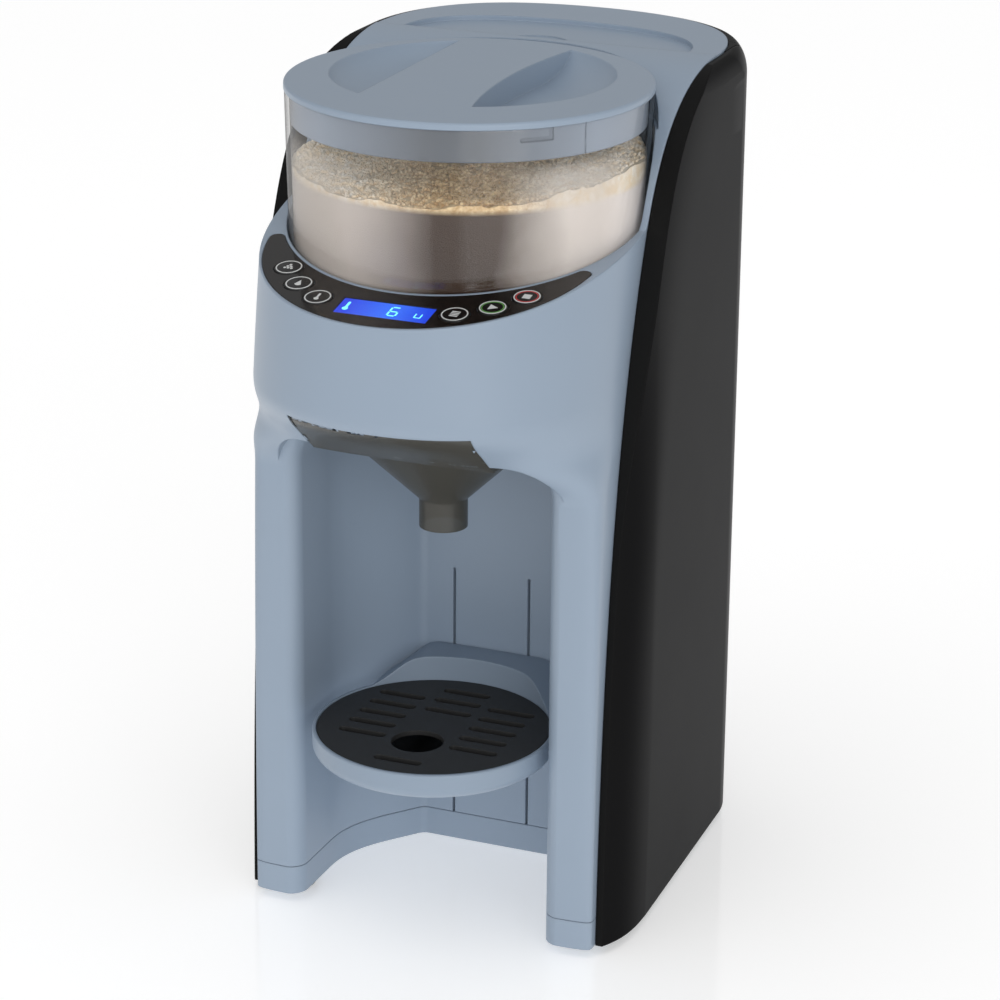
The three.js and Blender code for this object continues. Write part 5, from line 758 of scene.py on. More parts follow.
def screen_marks():
    low, high = -SCREEN_RECESS, -SCREEN_RECESS + 0.06
    middle = SCREEN_FRONT + SCREEN_H / 2
    w, h, t = 3.6, 7.0, 0.75
    six = [bar_outline(w - t, t, 0, h / 2), bar_outline(w - t, t), bar_outline(w - t, t, 0, -h / 2),
           bar_outline(t, h / 2 - t, -w / 2, h / 4), bar_outline(t, h / 2 - t, -w / 2, -h / 4),
           bar_outline(t, h / 2 - t, w / 2, -h / 4)]
    thermometer = [disc_outline(1.25, 0, -2.1), bar_outline(1.1, 4.0, 0, 0.9), disc_outline(0.55, 0, 2.9)]
    cup = [bar_outline(2.6, 0.5, 0, -2.6), *[bar_outline(0.5, 3.2, x, -1.0) for x in (-1.3, 1.3)]]
    left, right = SCREEN_X - SCREEN_W / 2, SCREEN_X + SCREEN_W / 2
    groups = ((six, SCREEN_X + 4.0), (thermometer, left + 3.4), (cup, right - 5.0))
    return merged("screen_marks", [flat_mark("mark", outline, x, middle, low, high)
                                   for outlines, x in groups for outline in outlines])


# Funnel with plate and visor
def funnel():
    def cone(inset, low, high, name):
        spout, wide = SPOUT_R - inset, FUNNEL_R - inset
        profile = [(0, low), (spout, low), (spout, SPOUT_BOTTOM + SPOUT_LENGTH), (wide, PLATE_BOTTOM),
                   (wide, high), (0, high)]
        return lathe(name, profile, 0, FUNNEL_Y)
    outer = cone(0, SPOUT_BOTTOM, PLATE_TOP, "funnel_smoked")
    inner = cone(FUNNEL_WALL, SPOUT_BOTTOM - OVERRUN, PLATE_TOP + OVERRUN, "inner")
    nose = common(block(-VISOR_HALF, VISOR_HALF, FRONT_Y, COLUMN_Y + WALL, PLATE_BOTTOM, PLATE_TOP),
                  shifted(housing_loft("skin", HOUSING_BOTTOM, CHIN_TOP, 0), 0, VISOR_INSET, 0))
    visor = shifted(chin_band(0, VISOR_SETBACK - VISOR_INSET), 0, VISOR_INSET, 0)
    join(outer, block(-PLATE_HALF, PLATE_HALF, COLUMN_Y, PLATE_REAR, PLATE_BOTTOM, PLATE_TOP), nose, visor)
    return cut(outer, inner)


# Bracket of the tray: thin hooks reach through the two tracks
def tray_bracket():
    front, top, bottom = ALCOVE_BACK - GAP - 3.4, TRAY_TOP + 6, TRAY_TOP - 28
    middle, hook_half, thin, head_half, head_thick = (top + bottom) / 2, 6, 0.35, 4, 2.6
    low, high, head = middle - hook_half, middle + hook_half, ALCOVE_BACK + WALL + GAP
    plate = block(-BRACKET_HALF, BRACKET_HALF, front, ALCOVE_BACK - GAP, bottom, top)
    plate.name = "tray_hanger"
    for x in (-TRACK_X, TRACK_X):
        join(plate, block(x - thin, x + thin, front, head + head_thick, low, high),
             block(x - head_half, x + head_half, head, head + head_thick, low, high))
    return plate


# Drip tray, collar and slotted cover
def drip_tray():
    rim, ledge, floor, step = TRAY_R - 1.6, TRAY_TOP - 2.8, TRAY_TOP - TRAY_HEIGHT + 2.4, 2.4
    turn = np.linspace(-math.pi / 2, 0, 25)
    under = np.c_[TRAY_BOTTOM_R + (TRAY_R - TRAY_BOTTOM_R) * np.cos(turn),
                  TRAY_TOP - TRAY_HEIGHT / 2 + TRAY_HEIGHT / 2 * np.sin(turn)]
    body = lathe("tray_bowl", [(0, TRAY_TOP - TRAY_HEIGHT), *under.tolist(), (TRAY_R, TRAY_TOP - 0.5),
                               (TRAY_R - 0.5, TRAY_TOP), (rim, TRAY_TOP), (rim, ledge), (rim - step, ledge),
                               (TRAY_BOTTOM_R, floor), (0, floor)], 0, TRAY_Y, 200)
    rise, bottom, end, flat = 10.7, TRAY_TOP - 11, 43.0, 22.0
    top, middle = TRAY_TOP + rise, (end + flat) / 2
    slope = bezier([(end, TRAY_TOP - GAP), (middle, TRAY_TOP + rise / 2), (middle, top), (flat, top)], 24)
    right = chain([(end, bottom)], slope)
    profile = np.vstack([right, (right * (-1, 1))[::-1]])
    collar = common(prism("collar", profile, TRAY_Y, ALCOVE_BACK, "y"),
                    prism("plan", alcove_plan(-1), bottom - 1, top + 1))
    seat = BRACKET_HALF + GAP
    cut(collar, rod(rim, 0, TRAY_Y, TRAY_TOP - 5, top + OVERRUN, 200),
        rod(rim - step, 0, TRAY_Y, bottom - OVERRUN, top, 200),
        block(-seat, seat, ALCOVE_BACK - 4, ALCOVE_BACK + OVERRUN, bottom - OVERRUN, TRAY_TOP + 6 + GAP))
    return join(body, collar)


def slot_tree(material):
    tree, given, target = node_group("drain_slots", "GeometryNodeTree", {
        "Slot Length": 0.022, "Slot Width": 0.0046, "Depth": 0.01, "Rows": 5,
        "Start": (0.0, 0.0, 0.0), "Pitch": (0.0, 0.0109, 0.0)}, Geometry="Geometry")
    outline = add(tree, "GeometryNodeCurvePrimitiveQuadrilateral", [
        ("Width", given["Slot Length"]), ("Height", given["Slot Width"])])
    nearly_half = times(tree, given["Slot Width"], 0.499)
    fillet = add(tree, "GeometryNodeFilletCurve", [
        ("Count", 10), ("Curve", outline.outputs["Curve"]), ("Radius", nearly_half)], mode="POLY")
    fill = add(tree, "GeometryNodeFillCurve", [("Curve", fillet.outputs["Curve"])], mode="NGONS")
    push = add(tree, "GeometryNodeExtrudeMesh", [
        ("Mesh", fill.outputs["Mesh"]), ("Offset Scale", given["Depth"])], mode="FACES")
    flip = add(tree, "GeometryNodeFlipFaces", [("Mesh", fill.outputs["Mesh"])])
    both = add(tree, "GeometryNodeJoinGeometry", [
        ("Geometry", push.outputs["Mesh"]), ("Geometry", flip.outputs["Mesh"])])
    weld = add(tree, "GeometryNodeMergeByDistance", [
        ("Distance", 1e-6), ("Geometry", both.outputs["Geometry"])])
    row = add(tree, "GeometryNodeMeshLine", [
        ("Count", given["Rows"]), ("Start Location", given["Start"]), ("Offset", given["Pitch"])],
        mode="OFFSET")
    spread = add(tree, "GeometryNodeInstanceOnPoints", [
        ("Points", row.outputs["Mesh"]), ("Instance", weld.outputs["Geometry"])])
    return painted(tree, spread.outputs["Instances"], material, target)


def slot_rows(tree, x, y, count):
    piece = linked("slots", bpy.data.meshes.new("slots"))
    rows = grow(piece, tree, rows=count, start=(x * MM, (TRAY_Y + y) * MM, (TRAY_TOP - 6) * MM))
    with_bmesh(rows.data, lambda bm: bmesh.ops.recalc_face_normals(bm, faces=bm.faces))
    return rows


def tray_cover(material):
    top, low, radius = TRAY_TOP - GAP, TRAY_TOP - 2.5, TRAY_R - 1.9
    profile = [(0, low), (radius, low), (radius, top - 0.5), (radius - 0.15, top - 0.15), (radius - 0.5, top),
               (0, top)]
    disc = lathe("tray_grid", profile, 0, TRAY_Y, 200)
    tree = slot_tree(material)
    places = [(-26, -18, 5), (26, -18, 5), (0, -39.2, 1), (0, 16, 3)]
    finger_hole = rod(FINGER_HOLE_R, 0, TRAY_Y - FINGER_HOLE_SHIFT, 0, SKY)
    return cut(disc, *[slot_rows(tree, x, y, count) for x, y, count in places], finger_hole)


# Water tank and its lid
def tank_room(setback, low, high):
    return block(-SIDE_REACH, SIDE_REACH, TANK_FRONT + setback, REAR_REACH, low, high)


def water_tank():
    thin, upper, wall, front_wall = 0.8, 315, 2.5, 2.5
    outer = plan_prism(thin, TANK_BOTTOM, TANK_TOP)
    outer.name = "tank_smoked"
    join(outer, plan_prism(0, upper, TANK_TOP))
    common(outer, tank_room(0, 0, SKY))
    hollow = common(plan_prism(thin + wall, TANK_BOTTOM + wall, SKY), tank_room(front_wall, 0, SKY + 100))
    return cut(outer, hollow, rod(VALVE_HOLE_R, 0, VALVE_Y, 0, TANK_BOTTOM + 5.1))


def tank_lid_frame():
    outer = common(rear_envelope(), tank_room(0, TANK_TOP + GAP, SKY))
    outer.name = "tank_lid_rim"
    nest = deck_prism(HALF_WIDTH + GAP, DECK_END + GAP, DECK_REAR, SHELF, TOTAL_HEIGHT + OVERRUN)
    under = common(plan_prism(5.4, TANK_TOP - 2.2, SHELF - WALL), tank_room(2.5, 0, SKY))
    return cut(outer, nest, under)


def tank_lid_panel():
    bottom, front, dish, finger = SHELF + GAP, DECK_REAR + GAP, 2.2, 2.8
    top = bottom + LID_THICK
    plate = deck_prism(HALF_WIDTH, DECK_END, front, bottom, top)
    plate.name = "tank_lid_plate"
    shallow = deck_prism(67, 99.5, front - OVERRUN, top - dish, top + 2)
    return cut(plate, shallow, rod(15.5, -4.5, front, top - finger, top + 2))


# Finishes
def tone(red, green, blue):
    parts = [c / 255 for c in (red, green, blue)]
    return tuple(c / 12.92 if c <= 0.04045 else ((c + 0.055) / 1.055) ** 2.4 for c in parts) + (1.0,)


def grey(level):
    return (level, level, level, 1)


def shaded(colour, share, lift=0.0):
    return tuple(min(1.0, c * share + lift) for c in colour[:3]) + (1.0,)


def remap(tree, value, low, high, to_low=0.0, to_high=1.0):
    links = [("Value", value), ("From Min", low), ("From Max", high), ("To Min", to_low), ("To Max", to_high)]
    return add(tree, "ShaderNodeMapRange", links).outputs["Result"]


def object_place(tree):
    return add(tree, "ShaderNodeTexCoord").outputs["Object"]


def axes(tree, vector):
    return add(tree, "ShaderNodeSeparateXYZ", [("Vector", vector)]).outputs


def noise_at(tree, scale, detail=2.0, roughness=0.5, coords=None):
    return add(tree, "ShaderNodeTexNoise", [
        ("Vector", coords or object_place(tree)), ("Scale", scale), ("Detail", detail),
        ("Roughness", roughness)]).outputs["Fac"]


def mix_colour(tree, factor, first, second):
    node = add(tree, "ShaderNodeMix", data_type="RGBA")
    return feed(node, [(0, factor), (6, first), (7, second)]).outputs[2]


def mix_shader(tree, factor, first, second):
    links = [(0, factor), (1, first.outputs[0]), (2, second.outputs[0])]
    return add(tree, "ShaderNodeMixShader", links)


def bumped(tree, strength, distance, height, *more):
    links = [("Strength", strength), ("Distance", distance), ("Height", height), *more]
    return add(tree, "ShaderNodeBump", links).outputs["Normal"]


def facing(tree):
    return axes(tree, add(tree, "ShaderNodeNewGeometry").outputs["Normal"])


def near(tree, value, middle, inner, outer, at_inner=1.0, at_outer=0.0):
    away = math_node(tree, "ABSOLUTE", math_node(tree, "SUBTRACT", value, middle))
    return remap(tree, away, inner, outer, at_inner, at_outer)


def from_axis(tree, at, centre_y):
    along = math_node(tree, "SUBTRACT", at["Y"], centre_y * MM)
    squares = [math_node(tree, "POWER", value, 2.0) for value in (at["X"], along)]
    return math_node(tree, "SQRT", math_node(tree, "ADD", *squares))


def turn_round_jar(tree, at):
    return math_node(tree, "ARCTAN2", at["X"], math_node(tree, "SUBTRACT", JAR_Y * MM, at["Y"]))


def drift_group():
    group, given, target = node_group("moulding_drift", "ShaderNodeTree", {
        "Colour": (0.5, 0.5, 0.5, 1.0), "Drift": 0.03, "Roughness": 0.3, "Rough Drift": 0.05, "Scale": 18.0},
        Colour="Color", Roughness="Float")
    centred = math_node(group, "SUBTRACT", noise_at(group, given["Scale"], 3.0, 0.55), 0.5)
    gain = math_node(group, "MULTIPLY_ADD", centred, times(group, given["Drift"], 2.0), 1.0)
    scaled = add(group, "ShaderNodeVectorMath", [(0, given["Colour"]), ("Scale", gain)], operation="SCALE")
    spread = times(group, given["Rough Drift"], 2.0)
    rough = math_node(group, "MULTIPLY_ADD", centred, spread, given["Roughness"])
    feed(target, [("Colour", scaled.outputs["Vector"]), ("Roughness", rough)])
    return group


def grain_group():
    group, given, target = node_group("fine_grain", "ShaderNodeTree", {"Scale": 2500.0, "Spread": 0.35},
                                      Height="Float")
    fine = noise_at(group, given["Scale"], 2.0, 0.6)
    swell = noise_at(group, times(group, given["Scale"], 0.02), 2.0, 0.5)
    feed(target, [("Height", math_node(group, "MULTIPLY_ADD", swell, given["Spread"], fine))])
    return group


def edge_group():
    group, given, target = node_group("soft_edges", "ShaderNodeTree", {"Radius": 0.0007},
                                      Normal="Vector", Edge="Float")
    bevel = add(group, "ShaderNodeBevel", [("Radius", given["Radius"])], samples=6).outputs["Normal"]
    plain = add(group, "ShaderNodeNewGeometry").outputs["Normal"]
    match = add(group, "ShaderNodeVectorMath", [(0, bevel), (1, plain)], operation="DOT_PRODUCT")
    feed(target, [("Normal", bevel), ("Edge", remap(group, match.outputs["Value"], 0.999, 0.85))])
    return group


DRIFT, GRAIN, EDGES = drift_group(), grain_group(), edge_group()


def blank_material(name):
    material = bpy.data.materials.new(name)
    material.use_nodes = True
    tree = material.node_tree
    return material, tree, tree.nodes["Principled BSDF"], tree.nodes["Material Output"]


def use_group(tree, group, **values):
    node = add(tree, "ShaderNodeGroup", node_tree=group)
    return feed(node, [(key.replace("_", " ").title(), value) for key, value in values.items()]).outputs


def moulded(name, colour, roughness, ior=1.45, drift=0.03, rough_drift=0.04, grain=2600.0, depth=0.05,
            radius=0.0007, edge_tone=0.25, scale=18.0):
    material, tree, principled, _ = blank_material(name)
    drifted = use_group(tree, DRIFT, colour=colour, drift=drift, roughness=roughness, rough_drift=rough_drift,
                        scale=scale)
    edges = use_group(tree, EDGES, radius=radius)
    factor = times(tree, edges["Edge"], edge_tone)
    height = use_group(tree, GRAIN, scale=grain)["Height"]
    feed(principled, [
        ("Base Color", mix_colour(tree, factor, drifted["Colour"], shaded(colour, 1.35, 0.01))),
        ("Roughness", drifted["Roughness"]), ("IOR", ior),
        ("Normal", bumped(tree, depth, 0.0004, height, ("Normal", edges["Normal"])))])
    return material


# Gives a finish a second colour where the mask is 1
def repaint(material, mask, colour):
    base = material.node_tree.nodes["Principled BSDF"].inputs["Base Color"]
    plain = base.links[0].from_socket
    material.node_tree.links.new(mix_colour(material.node_tree, mask, plain, colour), base)
    return material


def grazing(tree, power):
    facing_away = add(tree, "ShaderNodeLayerWeight", [("Blend", 0.5)]).outputs["Facing"]
    return math_node(tree, "POWER", facing_away, power)


def smoked_finish():
    cover = 0.56
    material, tree, principled, output = blank_material("smoked_plastic")
    tinted = mix_colour(tree, grazing(tree, 3.0), (0.62, 0.61, 0.58, 1), (0.3, 0.3, 0.29, 1))
    clear = add(tree, "ShaderNodeBsdfTransparent", [("Color", tinted)])
    drifted = use_group(tree, DRIFT, colour=tone(90, 89, 84), drift=0.05, roughness=0.22,
                        rough_drift=0.02, scale=30.0)
    feed(principled, [("Base Color", drifted["Colour"]), ("Roughness", drifted["Roughness"]), ("IOR", 1.45)])
    share = math_node(tree, "MULTIPLY_ADD", grazing(tree, 4.0), (1.0 - cover) * 0.7, cover)
    feed(output, [("Surface", mix_shader(tree, share, clear, principled).outputs[0])])
    return material


# Clear wall of the container: glossy towards its edges and painted darker there as a painted reflection, with
# powder dust clinging to two sides
def clear_wall():
    material, tree, gloss, output = blank_material("clear_wall")
    # Towards its edges the see-through part is painted darker: a painted reflection of dark surroundings
    tinted = mix_colour(tree, grazing(tree, 7.0), (0.99, 0.985, 0.98, 1), grey(0.03))
    clear = add(tree, "ShaderNodeBsdfTransparent", [("Color", tinted)])
    coords = object_place(tree)
    wipe = noise_at(tree, 60.0, 3.0, 0.6, coords)
    feed(gloss, [("Metallic", 1.0), ("Roughness", remap(tree, wipe, 0.3, 0.7, 0.02, 0.06)),
                 ("Base Color", mix_colour(tree, wipe, grey(0.86), grey(0.95)))])
    shine = math_node(tree, "MULTIPLY_ADD", grazing(tree, 5.0), 0.3, 0.03)
    wall = mix_shader(tree, shine, clear, gloss)
    at = axes(tree, coords)
    angle = turn_round_jar(tree, at)
    right, left = near(tree, angle, 1.02, 0.16, 0.42), near(tree, angle, -0.62, 0.1, 0.5, 0.75)
    low = remap(tree, at["Z"], 0.352, 0.345)
    patchy = remap(tree, noise_at(tree, 24.0, 3.0, 0.5, coords), 0.3, 0.7, 0.85, 1.0)
    cling = times(tree, math_node(tree, "MAXIMUM", right, left),
                      times(tree, low, patchy))
    dust = add(tree, "ShaderNodeBsdfPrincipled", [
        ("Roughness", 0.6),
        ("Base Color", mix_colour(tree, noise_at(tree, 1800.0, 2.0, 0.6, coords), tone(214, 205, 196),
                                  tone(240, 235, 230)))])
    film = times(tree, cling, 0.3)
    feed(output, [("Surface", mix_shader(tree, film, wall, dust).outputs[0])])
    return material


# Milk powder: packed against the wall, crumbly and paler on top; across its middle a painted shadow makes it
# darker and golden, and to the right of that a painted highlight makes the packed powder paler
def powder_finish():
    material, tree, principled, _ = blank_material("milk_powder")
    coords = object_place(tree)
    at = axes(tree, coords)
    top = remap(tree, at["Z"], (POWDER_TOP - 4.5) * MM, (POWDER_TOP - 2.0) * MM)
    across = math_node(tree, "MULTIPLY_ADD", at["X"], ACROSS_X, times(tree, at["Y"], ACROSS_Y))
    lumps = noise_at(tree, 260.0, 5.0, 0.6, coords)
    fine = noise_at(tree, 1500.0, 3.0, 0.6, coords)
    drift = noise_at(tree, 30.0, 3.0, 0.55, coords)
    # A band across the middle is darkened as a painted shadow, on the packed powder and on the crumbs
    wavy = math_node(tree, "MULTIPLY_ADD", drift, 0.012, math_node(tree, "SUBTRACT", across, 0.006))
    rising, falling = remap(tree, wavy, -0.058, -0.022), remap(tree, wavy, 0.002, 0.03, 1.0, 0.0)
    painted_shadow_band = times(tree, rising, falling)
    packed = mix_colour(tree, drift, tone(206, 197, 190), tone(216, 208, 202))
    # Paler to the right of the shadow band: a painted highlight
    packed = mix_colour(tree, remap(tree, wavy, 0.012, 0.03), packed, tone(244, 238, 235))
    packed = mix_colour(tree, painted_shadow_band, packed, tone(62, 43, 29))
    lumpy = remap(tree, lumps, 0.35, 0.65)
    pale = mix_colour(tree, lumpy, tone(244, 224, 190), tone(255, 250, 240))
    golden_painted_shadow_crumb = mix_colour(tree, lumpy, tone(190, 150, 96), tone(250, 226, 180))
    crumb = mix_colour(tree, painted_shadow_band, pale, golden_painted_shadow_crumb)
    height = math_node(tree, "MULTIPLY_ADD", lumps, top, times(tree, fine, 0.12))
    feed(principled, [("Base Color", mix_colour(tree, top, packed, crumb)),
                      ("Roughness", remap(tree, fine, 0.0, 1.0, 0.85, 1.0)),
                      ("Normal", bumped(tree, 0.7, 0.0012, height))])
    return material


# Side shells: deep black where they turn to the front, greyer on their flat sides; the tone where they turn
# to the front is painted by facing direction, a painted reflection
def shell_finish():
    material = moulded("black_gloss_shell", tone(20, 20, 21), 0.3, ior=1.065, drift=0.05, rough_drift=0.03,
                       grain=2200.0, depth=0.02, radius=0.0009, edge_tone=0.3)
    tree = material.node_tree
    # Tone painted by facing direction where the shell turns to the front: a painted reflection of dark
    # surroundings
    front_reflection_paint = remap(tree, math_node(tree, "ABSOLUTE", facing(tree)["X"]), 0.72, 0.96, 1.0, 0.0)
    return repaint(material, front_reflection_paint, tone(28, 28, 28))


def blue(name, colour):
    return moulded(name, colour, 0.36, drift=0.012, grain=3200.0, depth=0.03, radius=0.0011, edge_tone=0.3)


# Drip tray: its inside, seen through the slots, is painted dark as painted shade
def tray_finish():
    material = blue("steel_blue_tray", tone(140, 155, 172))
    tree = material.node_tree
    at = axes(tree, object_place(tree))
    inner = remap(tree, from_axis(tree, at, TRAY_Y), 0.0508, 0.051, 1.0, 0.0)
    facing_up = remap(tree, facing(tree)["Z"], -0.2, 0.0)
    low = remap(tree, at["Z"], (TRAY_TOP - 1.6) * MM, (TRAY_TOP - 1.2) * MM, 1.0, 0.0)
    # Painted shade on the inside floor, seen through the slots
    painted_shade_inside = times(tree, inner, times(tree, facing_up, low))
    return repaint(material, painted_shade_inside, tone(22, 23, 25))


# Container lid: the skirt under the rim is painted a darker grey than the top as painted shade, darkest
# towards the front-right
def lid_finish():
    material = blue("steel_blue_lid", tone(146, 161, 178))
    tree = material.node_tree
    at = axes(tree, object_place(tree))
    # Painted shade on the skirt, darkest towards the front-right of the jar
    away = near(tree, turn_round_jar(tree, at), 0.3, 0.15, 0.85, 0.0, 1.0)
    painted_skirt_shade = mix_colour(tree, away, tone(94, 101, 110), tone(150, 162, 178))
    ring = remap(tree, from_axis(tree, at, JAR_Y), 0.0715, 0.0725)
    under = times(tree, ring, remap(tree, at["Z"], 0.3662, 0.3672, 1.0, 0.0))
    return repaint(material, under, painted_skirt_shade)


def screen_finish():
    material, tree, principled, _ = blank_material("lit_screen")
    coords = object_place(tree)
    middle = near(tree, axes(tree, coords)["X"], 0.004, 0.0, 0.02)
    fine = noise_at(tree, 900.0, 1.0, 0.5, coords)
    lit = mix_colour(tree, middle, tone(26, 62, 226), tone(52, 116, 255))
    speckled = mix_colour(tree, times(tree, fine, 0.15), lit, tone(10, 26, 150))
    feed(principled, [("Emission Color", speckled), ("Emission Strength", 1.0),
                      ("Base Color", tone(6, 10, 40)), ("Roughness", remap(tree, fine, 0.0, 1.0, 0.1, 0.2))])
    return material


def glowing(name, colour):
    material, tree, principled, _ = blank_material(name)
    mottled = mix_colour(tree, noise_at(tree, 700.0, 1.0, 0.5), shaded(colour, 0.8), colour)
    feed(principled, [("Emission Color", mottled), ("Emission Strength", 1.0), ("Base Color", mottled)])
    return material


def brushed(name, colour, roughness):
    material, tree, principled, _ = blank_material(name)
    stretched = add(tree, "ShaderNodeMapping", [
        ("Vector", object_place(tree)), ("Scale", (40.0, 40.0, 2400.0))])
    lines = noise_at(tree, 1.0, 3.0, 0.6, stretched.outputs["Vector"])
    feed(principled, [("Base Color", mix_colour(tree, lines, shaded(colour, 0.8), colour)), ("Metallic", 1.0),
                      ("Roughness", remap(tree, lines, 0.0, 1.0, roughness, roughness + 0.15)),
                      ("Normal", bumped(tree, 0.15, 0.0002, lines))])
    return material


def print_ink(name, colour):
    return moulded(name, colour, 0.4, drift=0.03, radius=0.0002)


PALE_PRINT = print_ink("pale_print", tone(214, 216, 216))
BAND_PRINTS = {"start": print_ink("green_print", tone(86, 150, 62)),
               "stop": print_ink("red_print", tone(190, 40, 44))}
GLOW = glowing("lit_segments", tone(120, 226, 255))
LID, TRAY = lid_finish(), tray_finish()
FINISHES = {
    "blue_plastic": blue("steel_blue_plastic", tone(146, 161, 178)),
    "dark_shell": shell_finish(),
    "smoked_tank": moulded("smoked_tank_plastic", tone(16, 16, 18), 0.16, ior=1.2, drift=0.06, grain=1800.0,
                           depth=0.02),
    "charcoal_plastic": moulded("charcoal_plastic", tone(46, 46, 46), 0.5, ior=1.35, grain=4200.0, depth=0.14,
                                radius=0.0006),
    "rubber": moulded("soft_rubber", tone(26, 26, 27), 0.75, grain=5200.0, depth=0.2, radius=0.0006),
    "panel_lens": moulded("polished_black_lens", tone(17, 14, 13), 0.09, drift=0.05, rough_drift=0.02,
                          grain=900.0, depth=0.008, radius=0.0004),
    "button_caps": moulded("polished_black_caps", tone(14, 14, 16), 0.16, drift=0.05, grain=1200.0,
                           depth=0.01, radius=0.0004),
    "display": screen_finish(),
    "circuit_board": moulded("board_green", tone(28, 88, 56), 0.45, drift=0.1, grain=1600.0, depth=0.1,
                             scale=160.0),
    "clear_plastic": clear_wall(),
    "powder": powder_finish(),
    "white_plastic": moulded("white_plastic", tone(226, 224, 218), 0.4, grain=3000.0, depth=0.06),
    "steel": brushed("brushed_steel", tone(196, 198, 200), 0.25),
    "silicone": moulded("milky_silicone", tone(196, 198, 198), 0.5, drift=0.04, grain=2000.0, depth=0.05),
    "smoked_plastic": smoked_finish(),
}


# Pieces placed on their bodies
BODY = {node: body for body, nodes in frame["record"]["behaviour"]["bodies"].items() for node in nodes}
SLOT = {entry["node"]: entry["material_slot"] for entry in frame["record"]["subparts"]}


def smooth(piece, angle=28.0):
    mesh, weld = piece.data, 2e-6

    def clean(bm):
        bmesh.ops.remove_doubles(bm, verts=bm.verts, dist=weld)
        bmesh.ops.dissolve_degenerate(bm, edges=bm.edges, dist=weld)

    with_bmesh(mesh, clean)
    mesh.polygons.foreach_set("use_smooth", [True] * len(mesh.polygons))
    mesh.set_sharp_from_angle(angle=math.radians(angle))
    step = piece.modifiers.new("even", "WEIGHTED_NORMAL")
    step.keep_sharp = True
    step.weight = 80
    return settle(piece)


def place(piece, material, body, slot, *nodes):
    piece.data.materials.clear()
    piece.data.materials.append(material)
    piece.data.validate()
    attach(piece, body)
    if nodes:
        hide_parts(*nodes)


def stand_in(piece, node, material=None, angle=28.0):
    place(smooth(piece, angle), material or FINISHES[SLOT[node]], BODY[node], SLOT[node], node)


def stand_in_pair(right, left_name, node):
    left = mirrored_copy(right, left_name)
    stand_in(right, node + "_right")
    stand_in(left, node + "_left")


for node, source in frame["nodes"].items():
    for material_slot in source.material_slots:
        material_slot.material = FINISHES[SLOT[node]]

stand_in(front_housing(), "front_housing")
stand_in(base_plinth(), "base_plinth")
stand_in_pair(side_shell(), "shell_side_left", "side_shell")
stand_in_pair(deck_corner(), "deck_corner_piece_left", "deck_corner")
stand_in(powder_container(), "powder_container")
stand_in(powder_heap(), "formula_powder", angle=60.0)
place(powder_crumbs(FINISHES["powder"]), FINISHES["powder"], BODY["formula_powder"], SLOT["formula_powder"])
stand_in(container_lid(), "container_lid", LID)
stand_in(lid_seal(), "lid_gasket", LID)
stand_in(tray_bracket(), "tray_bracket")
stand_in(control_panel(), "control_panel")
stand_in(funnel(), "funnel")
stand_in(drip_tray(), "drip_tray", TRAY)
stand_in(tray_cover(FINISHES["charcoal_plastic"]), "tray_cover")
stand_in(water_tank(), "water_tank")
stand_in(tank_lid_frame(), "tank_lid_frame")
stand_in(tank_lid_panel(), "tank_lid_panel")

screen = tilted(screen_block(0, -SCREEN_RECESS, -SCREEN_DEPTH))
screen.name = "screen"
stand_in(screen, "display_window")

for (x, y), label in zip(KEYS, ("powder", "water", "temperature", "amount", "start", "stop")):
    stand_in(key_cap("key_" + label, x, y), "button_" + label)
    place(smooth(ring_mark("key_ring_" + label, 5.5, 5.0, x, y)), PALE_PRINT, "push_" + label, "button_caps")
    marks = [flat_mark("mark", outline, x, y, 0.3, 0.47) for outline in SYMBOLS[label]]
    place(smooth(merged("key_mark_" + label, marks)), PALE_PRINT, "push_" + label, "button_caps")
    if label in BAND_PRINTS:
        band = smooth(ring_mark("key_band_" + label, 4.75, 4.25, x, y))
        place(band, BAND_PRINTS[label], "push_" + label, "button_caps")

place(screen_marks(), GLOW, "housing", "display")

# Pieces that keep their CAD shape, with smooth shading
for node, name in {
    "rear_chassis": "rear_bulkhead", "power_inlet": "power_socket", "inner_frame": "rear_frame",
    "foot_front_left": "sole_front_left", "foot_front_right": "sole_front_right",
    "foot_rear_left": "sole_rear_left", "foot_rear_right": "sole_rear_right",
    "dosing_wheel": "dosing_disc", "stirring_wheel": "stirring_arms", "hub_nut": "hub_cap_nut",
    "tank_lid_gasket": "tank_lid_seal", "tank_valve": "tank_stopper",
    "tank_seat": "tank_socket", "drive_coupling": "drive_dog", "powder_chute": "powder_tube",
    "gear_motor": "motor", "water_pump": "pump", "water_heater": "heater", "water_nozzle": "nozzle",
}.items():
    stand_in(linked(name, frame["nodes"][node].data.copy()), node, angle=32.0)


# Floor, light and camera
AMBIENT = 0.45
LIGHTS = (("fill_light", 38, 8, 40, 0.5, False), ("right_light", 38, 10, 45, 0.65, True),
          ("front_light", -25, 12, 50, 0.3, True), ("top_light", -30, 78, 70, 0.62, True))


def towards(azimuth, elevation):
    level = math.cos(elevation)
    return Vector((math.sin(azimuth) * level, -math.cos(azimuth) * level, math.sin(elevation)))


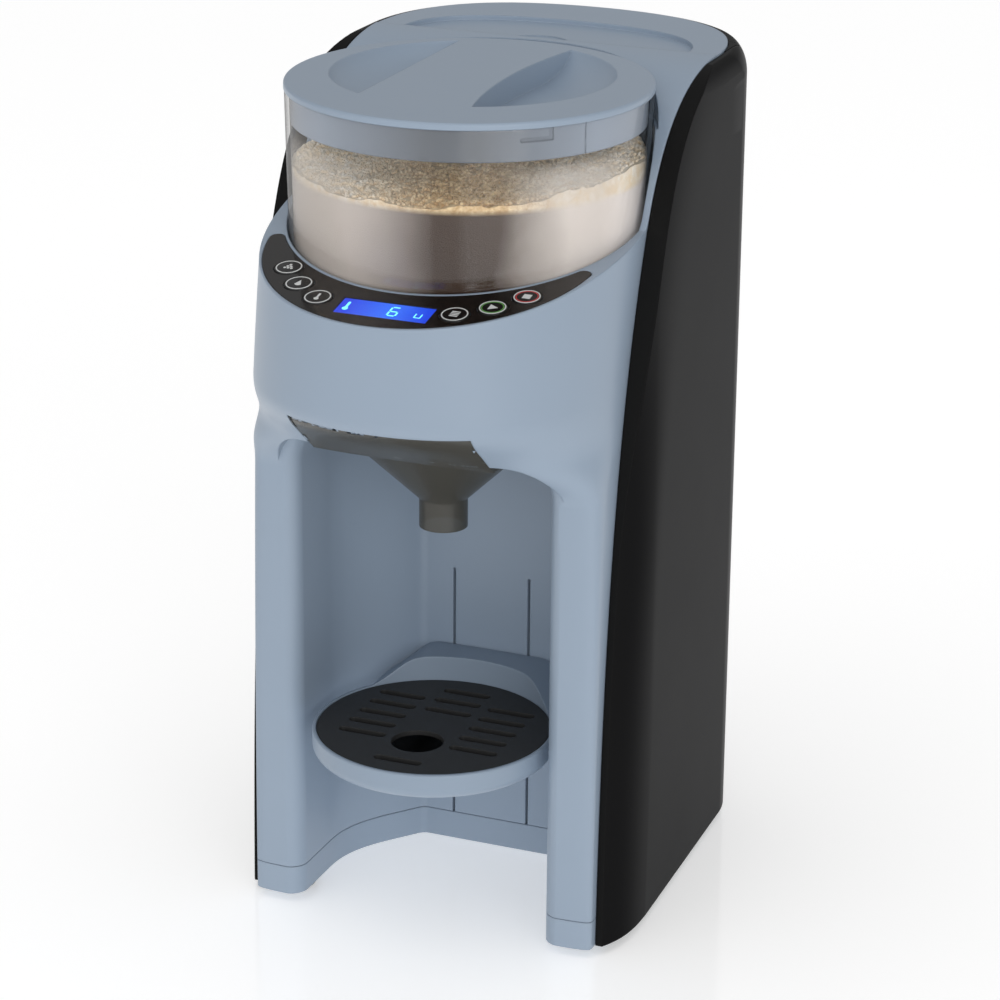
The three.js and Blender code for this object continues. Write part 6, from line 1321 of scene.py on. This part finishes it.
def pale_floor():
    reach = 9.0 / MM
    floor = solid("floor", [(-reach, -reach, 0), (reach, -reach, 0), (reach, reach, 0), (-reach, reach, 0)],
                  [(0, 1, 2, 3)])
    material, tree, principled, _ = blank_material("pale_floor")
    drifted = use_group(tree, DRIFT, colour=grey(0.9), drift=0.002, roughness=0.1, rough_drift=0.01,
                        scale=2.0)
    feed(principled, [("Base Color", drifted["Colour"]), ("Roughness", drifted["Roughness"]), ("IOR", 1.6),
                      ("Emission Color", grey(1)), ("Emission Strength", 0.4)])
    floor.data.materials.append(material)


def soft_light():
    world = bpy.data.worlds.new("studio")
    bpy.context.scene.world = world
    world.use_nodes = True
    tree = world.node_tree
    seen = add(tree, "ShaderNodeLightPath").outputs["Is Camera Ray"]
    strength = remap(tree, seen, 0.0, 1.0, AMBIENT, 1.0)
    feed(tree.nodes["Background"], [("Color", grey(1)), ("Strength", strength)])
    for name, azimuth, elevation, spread, energy, shadow in LIGHTS:
        lamp = bpy.data.lights.new(name, "SUN")
        lamp.angle, lamp.energy, lamp.use_shadow = math.radians(spread), energy, shadow
        source = towards(math.radians(azimuth), math.radians(elevation))
        linked(name, lamp).rotation_euler = (-source).to_track_quat("-Z", "Y").to_euler()


# Camera at the photo's angle, as fitted to its outline
def photo_camera():
    target = Vector((36.84, -79.0, 206.22)) * MM
    azimuth, elevation, roll = math.radians(21.94), math.radians(20.18), math.radians(-0.48)
    distance = 1.4433
    back = towards(azimuth, elevation)
    right = Vector((math.cos(azimuth), math.sin(azimuth), 0))
    up = right.cross(-back)
    across = math.cos(roll) * right - math.sin(roll) * up
    upward = math.sin(roll) * right + math.cos(roll) * up
    view = bpy.data.cameras.new("camera")
    view.lens, view.sensor_width, view.clip_start, view.clip_end = 124.884, 36.0, 0.05, 60.0
    camera = linked("camera", view)
    turn = Matrix((across, upward, back)).transposed().to_4x4()
    camera.matrix_world = Matrix.Translation(target + back * distance) @ turn
    bpy.context.scene.camera = camera


pale_floor()
soft_light()
photo_camera()
bpy.context.scene.view_settings.view_transform = "Standard"
